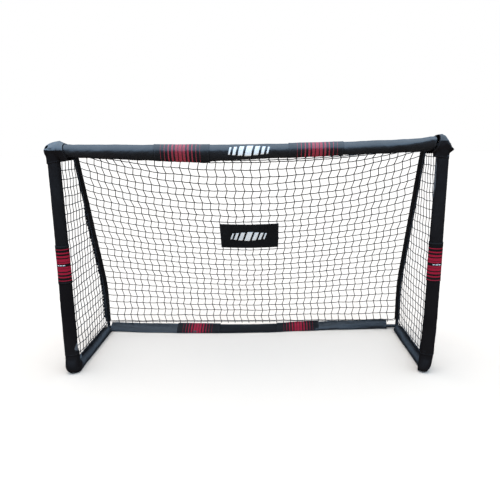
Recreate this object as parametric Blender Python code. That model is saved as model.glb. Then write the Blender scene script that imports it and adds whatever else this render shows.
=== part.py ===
"""Padded soccer goal frame: push-fit steel tubes, fabric sleeves and a string net.

Metres. +X is to the right of a player facing the goal, the open mouth faces -Y and +Z is up.
The origin is on the ground, in the middle of the goal's footprint.
"""

import math

import bmesh
import bpy
from mathutils import Matrix, Vector

# ---- driving dimensions -------------------------------------------------------------------
DEPTH = 0.900                  # front of the corner caps to the back of the rear bar's bands
POST_X = 1.188                 # post axis to the middle of the goal
CROSSBAR_Z = 1.460             # crossbar axis height
GROUND_TUBE_Z = 0.0175         # axis height of the side and rear tubes

TUBE_R = 0.0125
TUBE_BORE = 0.0114
SPIGOT_R = 0.0105
SPIGOT_BORE = 0.0094
SPIGOT_LENGTH = 0.045
NECK_LENGTH = 0.012            # the bore narrows over this length,
NECK_SETBACK = 0.004           # and ends this far before the shoulder
BORE_FLOOR = 0.005             # a fitting's bore starts this far past the shoulder
GAP = 0.0003                   # between faces that meet

CLOTH = 0.0015                 # sleeve wall
CAP_R = 0.044                  # corner cap, outside
CAP_OVERHANG = 0.044           # corner cap past the post axis
REAR_BACK = 0.031              # rear bar's bands past the rear tube's axis

POST_Y = -DEPTH / 2 + CAP_R
REAR_Y = DEPTH / 2 - REAR_BACK

TOP_COLLAR = 0.035             # three-way top corner: crossbar and strut arms
POST_COLLAR = 0.050            # three-way top corner: post arm
REAR_COLLAR = 0.045            # three-way rear corner: all arms
ELBOW_REACH = 0.080            # front elbow, from the corner to each shoulder
ELBOW_BEND = 0.045

JOINT_X = 0.393                # joints in the crossbar and the rear bar
POST_JOINT_Z = 0.750
STRUT_JOINT_Z = 0.900

STRUT_TOP_Y = POST_Y + 0.372   # where the level roof run meets the slanted run
STRUT_FOOT_Z = 0.375           # where the slanted run meets the upright leg
STRUT_TOP_BEND = 0.100
STRUT_FOOT_BEND = 0.600

BUTTON_SETBACK = 0.022         # snap button's axis past the shoulder
BUTTON_R = 0.0034
BUTTON_HOLE_R = 0.0039
BUTTON_TOP = 0.0139            # above the tube's axis
BUTTON_FLANGE_R = 0.0046
BUTTON_FLANGE = (0.0064, 0.0076)   # lower and upper face of the flange, above the axis
BUTTON_CHAMFER = 0.0010
BUTTON_HOLE = (0.0050, 0.0200)     # the hole's cutter, from and to, above the axis

NET_THICKNESS = 0.003

TUBE_SIDES = 12
SLEEVE_SIDES = 16
CUT_OVER = 0.010               # a cutter runs this far past the face that it opens

SIDES = (("left", -1.0), ("right", 1.0))
X_AXIS = Vector((1, 0, 0))
Y_AXIS = Vector((0, 1, 0))
Z_AXIS = Vector((0, 0, 1))


# ---- materials ----------------------------------------------------------------------------
def make_material(name, colour, roughness, metallic=0.0):
    material = bpy.data.materials.new(name)
    material.use_nodes = True
    shader = material.node_tree.nodes["Principled BSDF"]
    shader.inputs["Base Color"].default_value = (*colour, 1.0)
    shader.inputs["Roughness"].default_value = roughness
    shader.inputs["Metallic"].default_value = metallic
    return material


FINISHES = {
    "steel": ((0.015, 0.016, 0.018), 0.40, 0.6),
    "foam": ((0.20, 0.20, 0.21), 0.95, 0.0),
    "cloth": ((0.018, 0.021, 0.028), 0.60, 0.0),
    "band": ((0.30, 0.03, 0.05), 0.60, 0.0),
    "net": ((0.02, 0.02, 0.022), 0.80, 0.0),
    "badge": ((0.012, 0.012, 0.013), 0.55, 0.0),
    "button": ((0.55, 0.56, 0.58), 0.25, 1.0),
}


# ---- mesh helpers -------------------------------------------------------------------------
def new_object(name, mesh_data, finish):
    """Turn a bmesh into a named object with its own material and outward faces."""
    bmesh.ops.recalc_face_normals(mesh_data, faces=mesh_data.faces[:])
    mesh = bpy.data.meshes.new(name)
    mesh_data.to_mesh(mesh)
    mesh_data.free()
    mesh.shade_smooth()
    mesh.set_sharp_from_angle(angle=math.radians(35))
    colour, roughness, metallic = FINISHES[finish]
    mesh.materials.append(make_material(name, colour, roughness, metallic))
    piece = bpy.data.objects.new(name, mesh)
    bpy.context.scene.collection.objects.link(piece)
    return piece


def circle(radius, sides=SLEEVE_SIDES, drop=0.0):
    """Polygon whose sides touch a circle; drop stretches its lower half down."""
    outline = []
    for i in range(sides):
        angle = 2 * math.pi * (i + 0.5) / sides
        across = radius * math.cos(angle) / math.cos(math.pi / sides)
        up = radius * math.sin(angle) / math.cos(math.pi / sides)
        if up < 0:
            up *= 1 + drop / radius
        outline.append((across, up))
    return outline


def grow(outline, distance):
    """Move every side of a counter-clockwise convex outline outwards."""
    grown = []
    for i, (x, y) in enumerate(outline):
        before = Vector((x - outline[i - 1][0], y - outline[i - 1][1])).normalized()
        after_x, after_y = outline[(i + 1) % len(outline)]
        after = Vector((after_x - x, after_y - y)).normalized()
        normal_1 = Vector((before.y, -before.x))
        normal_2 = Vector((after.y, -after.x))
        shift = (normal_1 + normal_2) * (distance / (1 + normal_1.dot(normal_2)))
        grown.append((x + shift.x, y + shift.y))
    return grown


def ring(centre, across, up, outline):
    return [centre + across * a + up * b for a, b in outline]


def add_loop(mesh_data, points):
    return [mesh_data.verts.new(point) for point in points]


def bridge(mesh_data, first, second):
    count = len(first)
    for i in range(count):
        j = (i + 1) % count
        mesh_data.faces.new((first[i], first[j], second[j], second[i]))


def shell(outer, inner, mesh_data):
    """Closed wall between two stacks of rings, open right through."""
    stacks = []
    for rings in (outer, inner):
        loops = [add_loop(mesh_data, points) for points in rings]
        for first, second in zip(loops, loops[1:]):
            bridge(mesh_data, first, second)
        stacks.append(loops)
    bridge(mesh_data, stacks[0][0], stacks[1][0])
    bridge(mesh_data, stacks[0][-1], stacks[1][-1])


def bar(rings, mesh_data):
    """Closed solid through a stack of rings, with flat ends."""
    loops = [add_loop(mesh_data, points) for points in rings]
    for first, second in zip(loops, loops[1:]):
        bridge(mesh_data, first, second)
    mesh_data.faces.new(loops[0])
    mesh_data.faces.new(loops[-1])


def boolean(piece, cutter, operation="DIFFERENCE"):
    modifier = piece.modifiers.new(operation.title(), "BOOLEAN")
    modifier.operation = operation
    modifier.solver = "EXACT"
    modifier.object = cutter
    cutter.hide_render = True
    cutter.display_type = "WIRE"


# ---- paths --------------------------------------------------------------------------------
def frame_of(tangent):
    """Across and up axes of a section. Bent bars lie in YZ planes, so X is always across."""
    if abs(tangent.x) > 0.9:
        return Y_AXIS, Z_AXIS
    return X_AXIS, tangent.cross(X_AXIS) * -1


def straight(start, end):
    tangent = (end - start).normalized()
    return [(start, tangent), (end, tangent)]


def bent(points, bends, steps):
    """Path through points with a round bend at each inner one: (place, tangent) pairs."""
    path = [(points[0], (points[1] - points[0]).normalized())]
    for i, radius in enumerate(bends, start=1):
        before = (points[i] - points[i - 1]).normalized()
        after = (points[i + 1] - points[i]).normalized()
        turn = before.angle(after)
        reach = radius * math.tan(turn / 2)
        start = points[i] - before * reach
        inward = (after - before * before.dot(after)).normalized()
        for k in range(steps + 1):
            angle = turn * k / steps
            place = start + before * (radius * math.sin(angle))
            place = place + inward * (radius * (1 - math.cos(angle)))
            path.append((place, before * math.cos(angle) + inward * math.sin(angle)))
    path.append((points[-1], (points[-1] - points[-2]).normalized()))
    return path


def section(place, tangent, radius, sides=TUBE_SIDES):
    across, up = frame_of(tangent)
    return ring(place, across, up, circle(radius, sides))


# ---- steel tubes and fittings -------------------------------------------------------------
def spigot_rings(place, tangent):
    """Outer rings of a swaged end beyond its shoulder."""
    tip = place + tangent * SPIGOT_LENGTH
    return [section(place, tangent, SPIGOT_R), section(tip, tangent, SPIGOT_R)]


def tube(name, path, spigot):
    """Round tube: a plain socket at the start, and a swaged spigot or a socket at the end."""
    end, tangent = path[-1]
    outer = [section(p, t, TUBE_R) for p, t in path]
    inner = [section(p, t, TUBE_BORE) for p, t in path[:-1]]
    if spigot:
        outer += spigot_rings(end, tangent)
        neck = end - tangent * (NECK_LENGTH + NECK_SETBACK)
        inner.append(section(neck, tangent, TUBE_BORE))
        inner.append(section(neck + tangent * NECK_LENGTH, tangent, SPIGOT_BORE))
        inner.append(section(end + tangent * SPIGOT_LENGTH, tangent, SPIGOT_BORE))
    else:
        inner.append(section(end, tangent, TUBE_BORE))
    mesh_data = bmesh.new()
    shell(outer, inner, mesh_data)
    return new_object(name, mesh_data, "steel")


def elbow(name, path):
    """Bent tube with a spigot at both ends."""
    start, start_tangent = path[0]
    end, end_tangent = path[-1]
    tip = start - start_tangent * SPIGOT_LENGTH
    outer = [section(tip, start_tangent, SPIGOT_R), section(start, start_tangent, SPIGOT_R)]
    outer += [section(p, t, TUBE_R) for p, t in path]
    outer += spigot_rings(end, end_tangent)
    inner = [section(tip, start_tangent, SPIGOT_BORE)]
    inner += [section(p, t, SPIGOT_BORE) for p, t in path]
    inner += [section(end + end_tangent * SPIGOT_LENGTH, end_tangent, SPIGOT_BORE)]
    mesh_data = bmesh.new()
    shell(outer, inner, mesh_data)
    return new_object(name, mesh_data, "steel")


def corner(name, centre, arms):
    """Three welded arms, each a collar and a spigot with a bored end. arms: (direction, collar)."""
    pieces = []
    for number, (direction, collar) in enumerate(arms):
        heel = centre - direction * TUBE_R
        shoulder = centre + direction * collar
        mesh_data = bmesh.new()
        rings = [section(heel, direction, TUBE_R), section(shoulder, direction, TUBE_R)]
        bar(rings + spigot_rings(shoulder, direction), mesh_data)
        label = name if number == 0 else f"{name}_arm_{number}"
        pieces.append(new_object(label, mesh_data, "steel"))
    for arm in pieces[1:]:
        boolean(pieces[0], arm, "UNION")
    for number, (direction, collar) in enumerate(arms):
        floor = centre + direction * (collar + BORE_FLOOR)
        mouth = centre + direction * (collar + SPIGOT_LENGTH + CUT_OVER)
        mesh_data = bmesh.new()
        ends = [section(floor, direction, SPIGOT_BORE), section(mouth, direction, SPIGOT_BORE)]
        bar(ends, mesh_data)
        boolean(pieces[0], new_object(f"{name}_bore_{number}", mesh_data, "steel"))
    return pieces[0]


def strut_points(side):
    """Corner points of a strut: roof start, roof bend, foot bend, foot."""
    x = side * POST_X
    return [
        Vector((x, POST_Y + TOP_COLLAR + GAP, CROSSBAR_Z)),
        Vector((x, STRUT_TOP_Y, CROSSBAR_Z)),
        Vector((x, REAR_Y, STRUT_FOOT_Z)),
        Vector((x, REAR_Y, GROUND_TUBE_Z + REAR_COLLAR + GAP)),
    ]


def strut_joint(side):
    """Place of the joint in the slanted run, and the run's direction."""
    points = strut_points(side)
    down = (points[2] - points[1]).normalized()
    run = (STRUT_JOINT_Z - points[1].z) / down.z
    return points[1] + down * run, down


def build_bar_of_three(prefix, y, z, reach):
    """Three tubes in line along X: two with spigots, the last with sockets only."""
    left = Vector((-reach, y, z))
    tubes = []
    for name, end_x, spigot in (
        ("left", -JOINT_X, True),
        ("centre", JOINT_X, True),
        ("right", reach - GAP, False),
    ):
        end = Vector((end_x, y, z))
        tubes.append(tube(f"{prefix}_tube_{name}", straight(left, end), spigot))
        left = end + X_AXIS * GAP
    return tubes


def build_frame():
    """All tubes and fittings. Returns the tubes that a snap button locks, by bar name."""
    locked = {}
    reach = POST_X - TOP_COLLAR - GAP
    tubes = build_bar_of_three("crossbar", POST_Y, CROSSBAR_Z, reach)
    locked["crossbar_left"] = tubes[0:2]
    locked["crossbar_right"] = tubes[1:3]
    reach = POST_X - REAR_COLLAR - GAP
    tubes = build_bar_of_three("rear", REAR_Y, GROUND_TUBE_Z, reach)
    locked["rear_left"] = tubes[0:2]
    locked["rear_right"] = tubes[1:3]

    for name, side in SIDES:
        x = side * POST_X
        inward = X_AXIS * -side
        top = Vector((x, POST_Y, CROSSBAR_Z))
        toe = Vector((x, POST_Y, GROUND_TUBE_Z))
        heel = Vector((x, REAR_Y, GROUND_TUBE_Z))
        corner(
            f"top_corner_{name}",
            top,
            ((inward, TOP_COLLAR), (-Z_AXIS, POST_COLLAR), (Y_AXIS, TOP_COLLAR)),
        )
        corner(
            f"rear_corner_{name}",
            heel,
            ((inward, REAR_COLLAR), (-Y_AXIS, REAR_COLLAR), (Z_AXIS, REAR_COLLAR)),
        )
        elbow_points = [toe + Z_AXIS * ELBOW_REACH, toe, toe + Y_AXIS * ELBOW_REACH]
        elbow(f"front_elbow_{name}", bent(elbow_points, [ELBOW_BEND], 5))

        post_top = top - Z_AXIS * (POST_COLLAR + GAP)
        post_joint = Vector((x, POST_Y, POST_JOINT_Z))
        post_foot = toe + Z_AXIS * (ELBOW_REACH + GAP)
        upper = tube(f"post_tube_upper_{name}", straight(post_top, post_joint), True)
        below = post_joint - Z_AXIS * GAP
        lower = tube(f"post_tube_lower_{name}", straight(below, post_foot), False)
        locked[f"post_{name}"] = [upper, lower]

        side_start = toe + Y_AXIS * (ELBOW_REACH + GAP)
        side_end = heel - Y_AXIS * (REAR_COLLAR + GAP)
        tube(f"side_tube_{name}", straight(side_start, side_end), False)

        points = strut_points(side)
        joint, down = strut_joint(side)
        upper_path = bent([points[0], points[1], joint], [STRUT_TOP_BEND], 5)
        lower_path = bent([joint + down * GAP, points[2], points[3]], [STRUT_FOOT_BEND], 3)
        upper = tube(f"strut_tube_upper_{name}", upper_path, True)
        lower = tube(f"strut_tube_lower_{name}", lower_path, False)
        locked[f"strut_{name}"] = [upper, lower]
    return locked


# ---- snap buttons -------------------------------------------------------------------------
def hairpin_outline():
    """Side view of the leaf spring under a button: along the tube, and out from its axis."""
    leaf = 0.0006
    top_z, bottom_z = 0.0066, -0.0012
    front, back = -BUTTON_FLANGE_R, 0.0180
    foot = 0.0040
    steps = 4
    middle = (top_z + bottom_z) / 2
    outside = []
    inside = []
    for k in range(steps + 1):
        angle = math.pi / 2 - math.pi * k / steps
        big = (top_z - bottom_z) / 2
        outside.append((back + big * math.cos(angle), middle + big * math.sin(angle)))
        small = big - leaf
        inside.append((back + small * math.cos(angle), middle + small * math.sin(angle)))
    start = [(front, top_z)] + outside + [(foot, bottom_z), (foot, bottom_z + leaf)]
    return start + inside[::-1] + [(front, top_z - leaf)]


def snap_button(name, place, out, back):
    """Button on its leaf spring. Its own Z points out of the tube, its X back up the tube."""
    mesh_data = bmesh.new()
    profile = (
        (BUTTON_FLANGE_R, BUTTON_FLANGE[0]),
        (BUTTON_FLANGE_R, BUTTON_FLANGE[1]),
        (BUTTON_R, BUTTON_FLANGE[1]),
        (BUTTON_R, BUTTON_TOP - BUTTON_CHAMFER),
        (BUTTON_R - BUTTON_CHAMFER, BUTTON_TOP),
    )
    rings = [
        ring(Z_AXIS * height, X_AXIS, Y_AXIS, circle(radius, TUBE_SIDES))
        for radius, height in profile
    ]
    bar(rings, mesh_data)
    button = new_object(name, mesh_data, "button")

    spring_data = bmesh.new()
    half_width = 0.0030
    outline = hairpin_outline()
    loops = [
        add_loop(spring_data, [Vector((along, side, height)) for along, height in outline])
        for side in (-half_width, half_width)
    ]
    bridge(spring_data, loops[0], loops[1])
    spring_data.faces.new(loops[0])
    spring_data.faces.new(loops[1])
    spring = new_object(f"{name}_spring", spring_data, "button")

    turn = Matrix((back, out.cross(back), out)).transposed().to_4x4()
    for piece in (button, spring):
        piece.matrix_world = Matrix.Translation(place) @ turn
    boolean(button, spring, "UNION")


def build_buttons(locked):
    """One button through each joint's spigot and the tube over it."""
    joints = []
    along = BUTTON_SETBACK
    for name, side in SIDES:
        beam = Vector((side * JOINT_X + along, POST_Y, CROSSBAR_Z))
        joints.append((f"crossbar_{name}", beam, -Z_AXIS, -X_AXIS))
        rear = Vector((side * JOINT_X + along, REAR_Y, GROUND_TUBE_Z))
        joints.append((f"rear_{name}", rear, Z_AXIS, -X_AXIS))
        post = Vector((side * POST_X, POST_Y, POST_JOINT_Z - along))
        joints.append((f"post_{name}", post, Y_AXIS, Z_AXIS))
        joint, down = strut_joint(side)
        joints.append((f"strut_{name}", joint + down * along, X_AXIS * -side, -down))
    for name, place, out, back in joints:
        snap_button(f"snap_button_{name}", place, out, back)
        mesh_data = bmesh.new()
        outline = circle(BUTTON_HOLE_R, TUBE_SIDES)
        ends = [place + out * height for height in BUTTON_HOLE]
        bar([ring(p, back, out.cross(back), outline) for p in ends], mesh_data)
        hole = new_object(f"button_hole_{name}", mesh_data, "steel")
        for piece in locked[name]:
            boolean(piece, hole)


# ---- foam ---------------------------------------------------------------------------------
FOAM_BORE = 0.0130
FOAM_R = 0.0365
FOAM_END = 0.055               # from a post's axis to the end of the crossbar's foam
FOAM_TOP = 0.056               # from the crossbar's axis down to a post's foam
FOAM_LOW_Z = 0.1300
WINDOW_R = 0.0120              # hole in the foam over each snap button
WINDOW = (0.006, 0.050)        # the hole's cutter, from and to, above the tube's axis


def foam_pipe(name, start, end, windows):
    """Foam pipe with a window over each button. windows: (button's place, outward direction)."""
    path = straight(start, end)
    outer = [section(p, t, FOAM_R, SLEEVE_SIDES) for p, t in path]
    inner = [section(p, t, FOAM_BORE, SLEEVE_SIDES) for p, t in path]
    mesh_data = bmesh.new()
    shell(outer, inner, mesh_data)
    pipe = new_object(name, mesh_data, "foam")
    for number, (place, out) in enumerate(windows):
        mesh_data = bmesh.new()
        ends = [place + out * height for height in WINDOW]
        bar([section(p, out, WINDOW_R) for p in ends], mesh_data)
        boolean(pipe, new_object(f"{name}_window_{number}", mesh_data, "foam"))


def build_foam():
    """One foam pipe on the crossbar and one on each post."""
    end_x = POST_X - FOAM_END
    windows = [
        (Vector((side * JOINT_X + BUTTON_SETBACK, POST_Y, CROSSBAR_Z)), -Z_AXIS)
        for _, side in SIDES
    ]
    start = Vector((-end_x, POST_Y, CROSSBAR_Z))
    foam_pipe("crossbar_foam", start, Vector((end_x, POST_Y, CROSSBAR_Z)), windows)
    for name, side in SIDES:
        x = side * POST_X
        window = (Vector((x, POST_Y, POST_JOINT_Z - BUTTON_SETBACK)), Y_AXIS)
        start = Vector((x, POST_Y, CROSSBAR_Z - FOAM_TOP))
        foam_pipe(f"post_foam_{name}", start, Vector((x, POST_Y, FOAM_LOW_Z)), [window])


# ---- sleeves ------------------------------------------------------------------------------
SLEEVE_CLEAR = 0.0005          # between a sleeve and the band over it
BAND_OUT = CLOTH + SLEEVE_CLEAR


def sleeve(name, stations, finish="cloth"):
    """Cloth tube through stations of (place, tangent, outline)."""
    outer = []
    inner = []
    for place, tangent, outline in stations:
        across, up = frame_of(tangent)
        outer.append(ring(place, across, up, outline))
        inner.append(ring(place, across, up, grow(outline, -CLOTH)))
    mesh_data = bmesh.new()
    shell(outer, inner, mesh_data)
    return new_object(name, mesh_data, finish)


def build_crossbar_sleeves():
    """Three lengths of sleeve, and a band over each joint. The cloth hangs lower on the left."""
    def station(x, radius, drop):
        return Vector((x, POST_Y, CROSSBAR_Z)), X_AXIS, circle(radius, drop=drop)

    end_x = POST_X - 0.048
    gap = 0.030
    snug, loose = 0.0390, 0.0395
    left = ((-end_x, snug, 0.002), (-0.62, snug, 0.012), (-JOINT_X - gap, snug, 0.016))
    centre = ((-JOINT_X + gap, loose, 0.016), (0.0, loose, 0.010), (JOINT_X - gap, snug, 0.004))
    right = ((JOINT_X + gap, snug, 0.004), (0.75, snug, 0.003), (end_x, snug, 0.001))
    for name, stations in (("left", left), ("centre", centre), ("right", right)):
        sleeve(f"crossbar_sleeve_{name}", [station(*values) for values in stations])
    slack = 0.0010
    for name, low, high, drop in (("left", -0.560, -0.220, 0.019), ("right", 0.260, 0.590, 0.008)):
        radius = loose + BAND_OUT + slack
        stations = [station(low, radius, drop), station(high, radius, drop)]
        sleeve(f"crossbar_band_{name}", stations, "band")


def build_post_sleeves():
    """Upper and lower sleeve on each post, growing a little baggier downwards, and a band."""
    gap = 0.025
    top, baggier, low = CROSSBAR_Z - 0.058, 0.60, 0.1200
    band_top, band_low = POST_JOINT_Z + 0.120, POST_JOINT_Z - 0.130
    band_r = 0.0405 + BAND_OUT
    for name, side in SIDES:
        def station(z, radius):
            return Vector((side * POST_X, POST_Y, z)), -Z_AXIS, circle(radius)

        upper = [station(top, 0.0385), station(POST_JOINT_Z + gap, 0.0390)]
        lower = [station(POST_JOINT_Z - gap, 0.0390), station(baggier, 0.0405)]
        lower.append(station(low, 0.0425))
        sleeve(f"post_sleeve_upper_{name}", upper)
        sleeve(f"post_sleeve_lower_{name}", lower)
        sleeve(f"post_band_{name}", [station(z, band_r) for z in (band_top, band_low)], "band")


# Side sleeve's section, half of it: x from the bar's axis and height above the ground. The net
# draws its top up, and its underside lies flat.
SIDE_HALF_SECTION = [
    (0.0360, 0.0260),
    (0.0290, 0.0390),
    (0.0190, 0.0480),
    (0.0070, 0.0530),
]
SIDE_HALF_BASE = [
    (0.0120, 0.0),
    (0.0350, 0.0),
    (0.0385, 0.0050),
    (0.0385, 0.0140),
]
TOE_RINGS = (                  # radius and height of the sock that closes a post's foot
    (0.0425, 0.1194),
    (0.0425, 0.0300),
    (0.0370, 0.0100),
    (0.0260, 0.0),
)


def side_section():
    """Whole section of a side sleeve, counter-clockwise: x, and height above the ground."""
    top = SIDE_HALF_SECTION + [(-x, z) for x, z in SIDE_HALF_SECTION[::-1]]
    base = [(-x, z) for x, z in SIDE_HALF_BASE[::-1]] + SIDE_HALF_BASE
    return top + base


def build_side_sleeves():
    """Sleeve of each side bar, joined to the sock that wraps the front elbow. Open at both ends."""
    rear_end = REAR_Y - 0.081
    for name, side in SIDES:
        foot = Vector((side * POST_X, POST_Y, 0.0))
        solids = []
        for wall, kind in ((0.0, "run"), (CLOTH, "core")):
            sock = bmesh.new()
            rings = []
            for number, (radius, height) in enumerate(TOE_RINGS):
                lift = wall if number else wall and CUT_OVER
                outline = circle(radius - wall)
                rings.append(ring(foot + Z_AXIS * (height + lift), X_AXIS, Y_AXIS, outline))
            bar(rings, sock)
            run = bmesh.new()
            outline = grow(side_section(), -wall)
            ends = (POST_Y, rear_end + (CUT_OVER if wall else 0.0))
            places = [Vector((side * POST_X, y, 0.0)) for y in ends]
            bar([ring(place, X_AXIS, Z_AXIS, outline) for place in places], run)
            for part, mesh_data in (("sock", sock), ("bar", run)):
                label = f"side_sleeve_{name}"
                if solids:
                    label = f"{label}_{part}_{kind}"
                solids.append(new_object(label, mesh_data, "cloth"))
        boolean(solids[0], solids[1], "UNION")
        boolean(solids[0], solids[2])
        boolean(solids[0], solids[3])


# Rear sleeve's section: y and z from the rear tube's axis. The slack cloth lies forward.
REAR_SECTION = [
    (0.029, -0.0155),
    (0.029, 0.0040),
    (0.024, 0.0220),
    (0.012, 0.0340),
    (-0.006, 0.0380),
    (-0.026, 0.0320),
    (-0.048, 0.0180),
    (-0.068, 0.0010),
    (-0.076, -0.0080),
    (-0.076, -0.0155),
]


def build_rear_sleeves():
    """Three lengths of sleeve and two bands, slid a little to the left on the rear bar."""
    def stations(low, high, outline):
        return [(Vector((x, REAR_Y, GROUND_TUBE_Z)), X_AXIS, outline) for x in (low, high)]

    slide = -0.035
    gap = 0.012
    reach = 1.121
    for name, low, high in (
        ("left", -reach + slide, -JOINT_X + slide - gap),
        ("centre", -JOINT_X + slide + gap, JOINT_X + slide - gap),
        ("right", JOINT_X + slide + gap, reach + slide),
    ):
        sleeve(f"rear_sleeve_{name}", stations(low, high, REAR_SECTION))
    band = grow(REAR_SECTION, BAND_OUT)
    for name, low, high in (("left", -0.610, -0.270), ("right", 0.200, 0.530)):
        sleeve(f"rear_band_{name}", stations(low, high, band), "band")


def build_strut_sleeves():
    """Snug sleeve along each whole strut."""
    radius = 0.0200
    start_y, end_z = POST_Y + 0.050, 0.078
    for name, side in SIDES:
        points = strut_points(side)
        points[0] = Vector((side * POST_X, start_y, CROSSBAR_Z))
        points[-1] = Vector((side * POST_X, REAR_Y, end_z))
        path = bent(points, [STRUT_TOP_BEND, STRUT_FOOT_BEND], 4)
        sleeve(f"strut_sleeve_{name}", [(p, t, circle(radius, TUBE_SIDES)) for p, t in path])


def build_corner_caps():
    """Three-way fabric cover over each top corner, open at all its ends."""
    inward_reach, down_reach, back_reach = 0.063, 0.072, 0.085
    down_r, back_r = CAP_R - 0.0005, 0.0240
    for name, side in SIDES:
        centre = Vector((side * POST_X, POST_Y, CROSSBAR_Z))
        outward = X_AXIS * side
        runs = (
            (centre - outward * inward_reach, centre + outward * CAP_OVERHANG, CAP_R),
            (centre, centre - Z_AXIS * down_reach, down_r),
            (centre, centre + Y_AXIS * back_reach, back_r),
        )
        solids = []
        cores = []
        for number, (start, end, radius) in enumerate(runs):
            along = (end - start).normalized()
            for wall, pieces, extra in ((0.0, solids, 0.0), (CLOTH, cores, CUT_OVER)):
                begin = start - along * (extra if number == 0 else 0.0)
                finish = end + along * extra
                mesh_data = bmesh.new()
                rings = [section(p, along, radius - wall, SLEEVE_SIDES) for p in (begin, finish)]
                bar(rings, mesh_data)
                kind = "core" if wall else "run"
                label = f"corner_cap_{name}"
                if pieces or wall:
                    label = f"{label}_{kind}_{number}"
                pieces.append(new_object(label, mesh_data, "cloth"))
        for solid in solids[1:]:
            boolean(solids[0], solid, "UNION")
        for core in cores:
            boolean(solids[0], core)


# ---- net ----------------------------------------------------------------------------------
NET_HALF_WIDTH = POST_X - 0.026
NET_LOW_Z = 0.0660
NET_TUCK = 0.124               # share of the edge that gathers behind the crossbar's middle
NET_TUCK_MIDDLE = 0.036        # and the share of the middle line that it fills there
NET_HOLD_TOP = 2.17            # how quickly the net leaves the struts' profile towards the middle
NET_HOLD_BOTTOM = 1.24
NET_LEAN = (                   # middle line as a Bezier curve: y from the posts, and z
    (0.050, 1.425),
    (0.334, 0.942),
    (0.697, 0.554),
    (0.815, NET_LOW_Z),
)


def path_at(path, fraction):
    """Place at a fraction of a path's length."""
    lengths = [(b[0] - a[0]).length for a, b in zip(path, path[1:])]
    target = fraction * sum(lengths)
    for (start, _), (end, _), length in zip(path, path[1:], lengths):
        if target <= length:
            return start.lerp(end, target / length)
        target -= length
    return path[-1][0]


def net_profile():
    """The back net's edge along a strut, in the plane X = 0."""
    points = [
        Vector((0, POST_Y + 0.052, CROSSBAR_Z)),
        Vector((0, STRUT_TOP_Y, CROSSBAR_Z)),
        Vector((0, REAR_Y, STRUT_FOOT_Z)),
        Vector((0, REAR_Y, NET_LOW_Z)),
    ]
    return bent(points, [STRUT_TOP_BEND, STRUT_FOOT_BEND], 6)


def net_middle(share):
    """Point of the back net's middle line, in the plane X = 0."""
    y = z = 0.0
    for power, (lean_y, lean_z) in enumerate(NET_LEAN):
        weight = math.comb(3, power) * share ** power * (1 - share) ** (3 - power)
        y += weight * lean_y
        z += weight * lean_z
    return Vector((0, POST_Y + y, z))


def back_net_point(across, down):
    """Point of the back net: across runs -1 to 1 over the width, down 0 to 1."""
    if down < NET_TUCK:
        share = NET_TUCK_MIDDLE * down / NET_TUCK
        hold = NET_HOLD_TOP
    else:
        below = (down - NET_TUCK) / (1 - NET_TUCK)
        share = NET_TUCK_MIDDLE + (1 - NET_TUCK_MIDDLE) * below
        hold = NET_HOLD_TOP + (NET_HOLD_BOTTOM - NET_HOLD_TOP) * below
    weight = 1 - abs(across) ** hold
    point = path_at(net_profile(), down).lerp(net_middle(share), weight)
    point.x = across * NET_HALF_WIDTH
    return point


def slab(name, point_at, columns, rows, low, high, finish):
    """Thin closed solid over a surface, between two distances along its normal."""
    def normal_at(u, v):
        step = 0.01
        across = point_at(u + step, v) - point_at(u - step, v)
        down = point_at(u, min(v + step, 1)) - point_at(u, max(v - step, 0))
        return down.cross(across).normalized()

    mesh_data = bmesh.new()
    layers = []
    for offset in (low, high):
        grid = []
        for v in rows:
            line = [point_at(u, v) + normal_at(u, v) * offset for u in columns]
            grid.append(add_loop(mesh_data, line))
        for first, second in zip(grid, grid[1:]):
            for i in range(len(columns) - 1):
                mesh_data.faces.new((first[i], first[i + 1], second[i + 1], second[i]))
        layers.append(grid)
    rims = []
    for grid in layers:
        rim = grid[0] + [line[-1] for line in grid[1:-1]]
        rim += grid[-1][::-1] + [line[0] for line in grid[-2:0:-1]]
        rims.append(rim)
    bridge(mesh_data, rims[0], rims[1])
    return new_object(name, mesh_data, finish)


def build_back_net():
    """The net as one thin sheet, and the badge's cloth just in front of it."""
    columns = [-1 + 2 * i / 10 for i in range(11)]
    rows = [i / 14 for i in range(15)]
    half = NET_THICKNESS / 2
    slab("net_back", back_net_point, columns, rows, -half, half, "net")

    left, width = -0.205, 0.415
    top, height = 0.416, 0.130         # as shares of the net's way down
    columns = [(left + width * i / 4) / NET_HALF_WIDTH for i in range(5)]
    rows = [top + height * i / 3 for i in range(4)]
    slab("net_badge", back_net_point, columns, rows, half + 0.0010, half + 0.0030, "badge")


def build_side_nets():
    """Flat net in each side frame, inside the line of the sleeves around it."""
    front = POST_Y + 0.047
    offset = 0.0235                    # from a strut's axis
    roof_z, low_z = CROSSBAR_Z - offset - 0.004, 0.0730
    points = [
        Vector((0, front, roof_z)),
        Vector((0, STRUT_TOP_Y - 0.016, roof_z)),
        Vector((0, REAR_Y - offset, STRUT_FOOT_Z - 0.005)),
        Vector((0, REAR_Y - offset, low_z)),
    ]
    outline = [p for p, _ in bent(points, [STRUT_TOP_BEND - offset, STRUT_FOOT_BEND], 5)]
    outline += [Vector((0, POST_Y + 0.075, low_z)), Vector((0, front, 0.1050))]
    for name, side in SIDES:
        mesh_data = bmesh.new()
        loops = []
        for half in (-NET_THICKNESS / 2, NET_THICKNESS / 2):
            shift = X_AXIS * (side * POST_X + half)
            loops.append(add_loop(mesh_data, [p + shift for p in outline]))
        bridge(mesh_data, loops[0], loops[1])
        mesh_data.faces.new(loops[0])
        mesh_data.faces.new(loops[1])
        new_object(f"net_side_{name}", mesh_data, "net")


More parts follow.
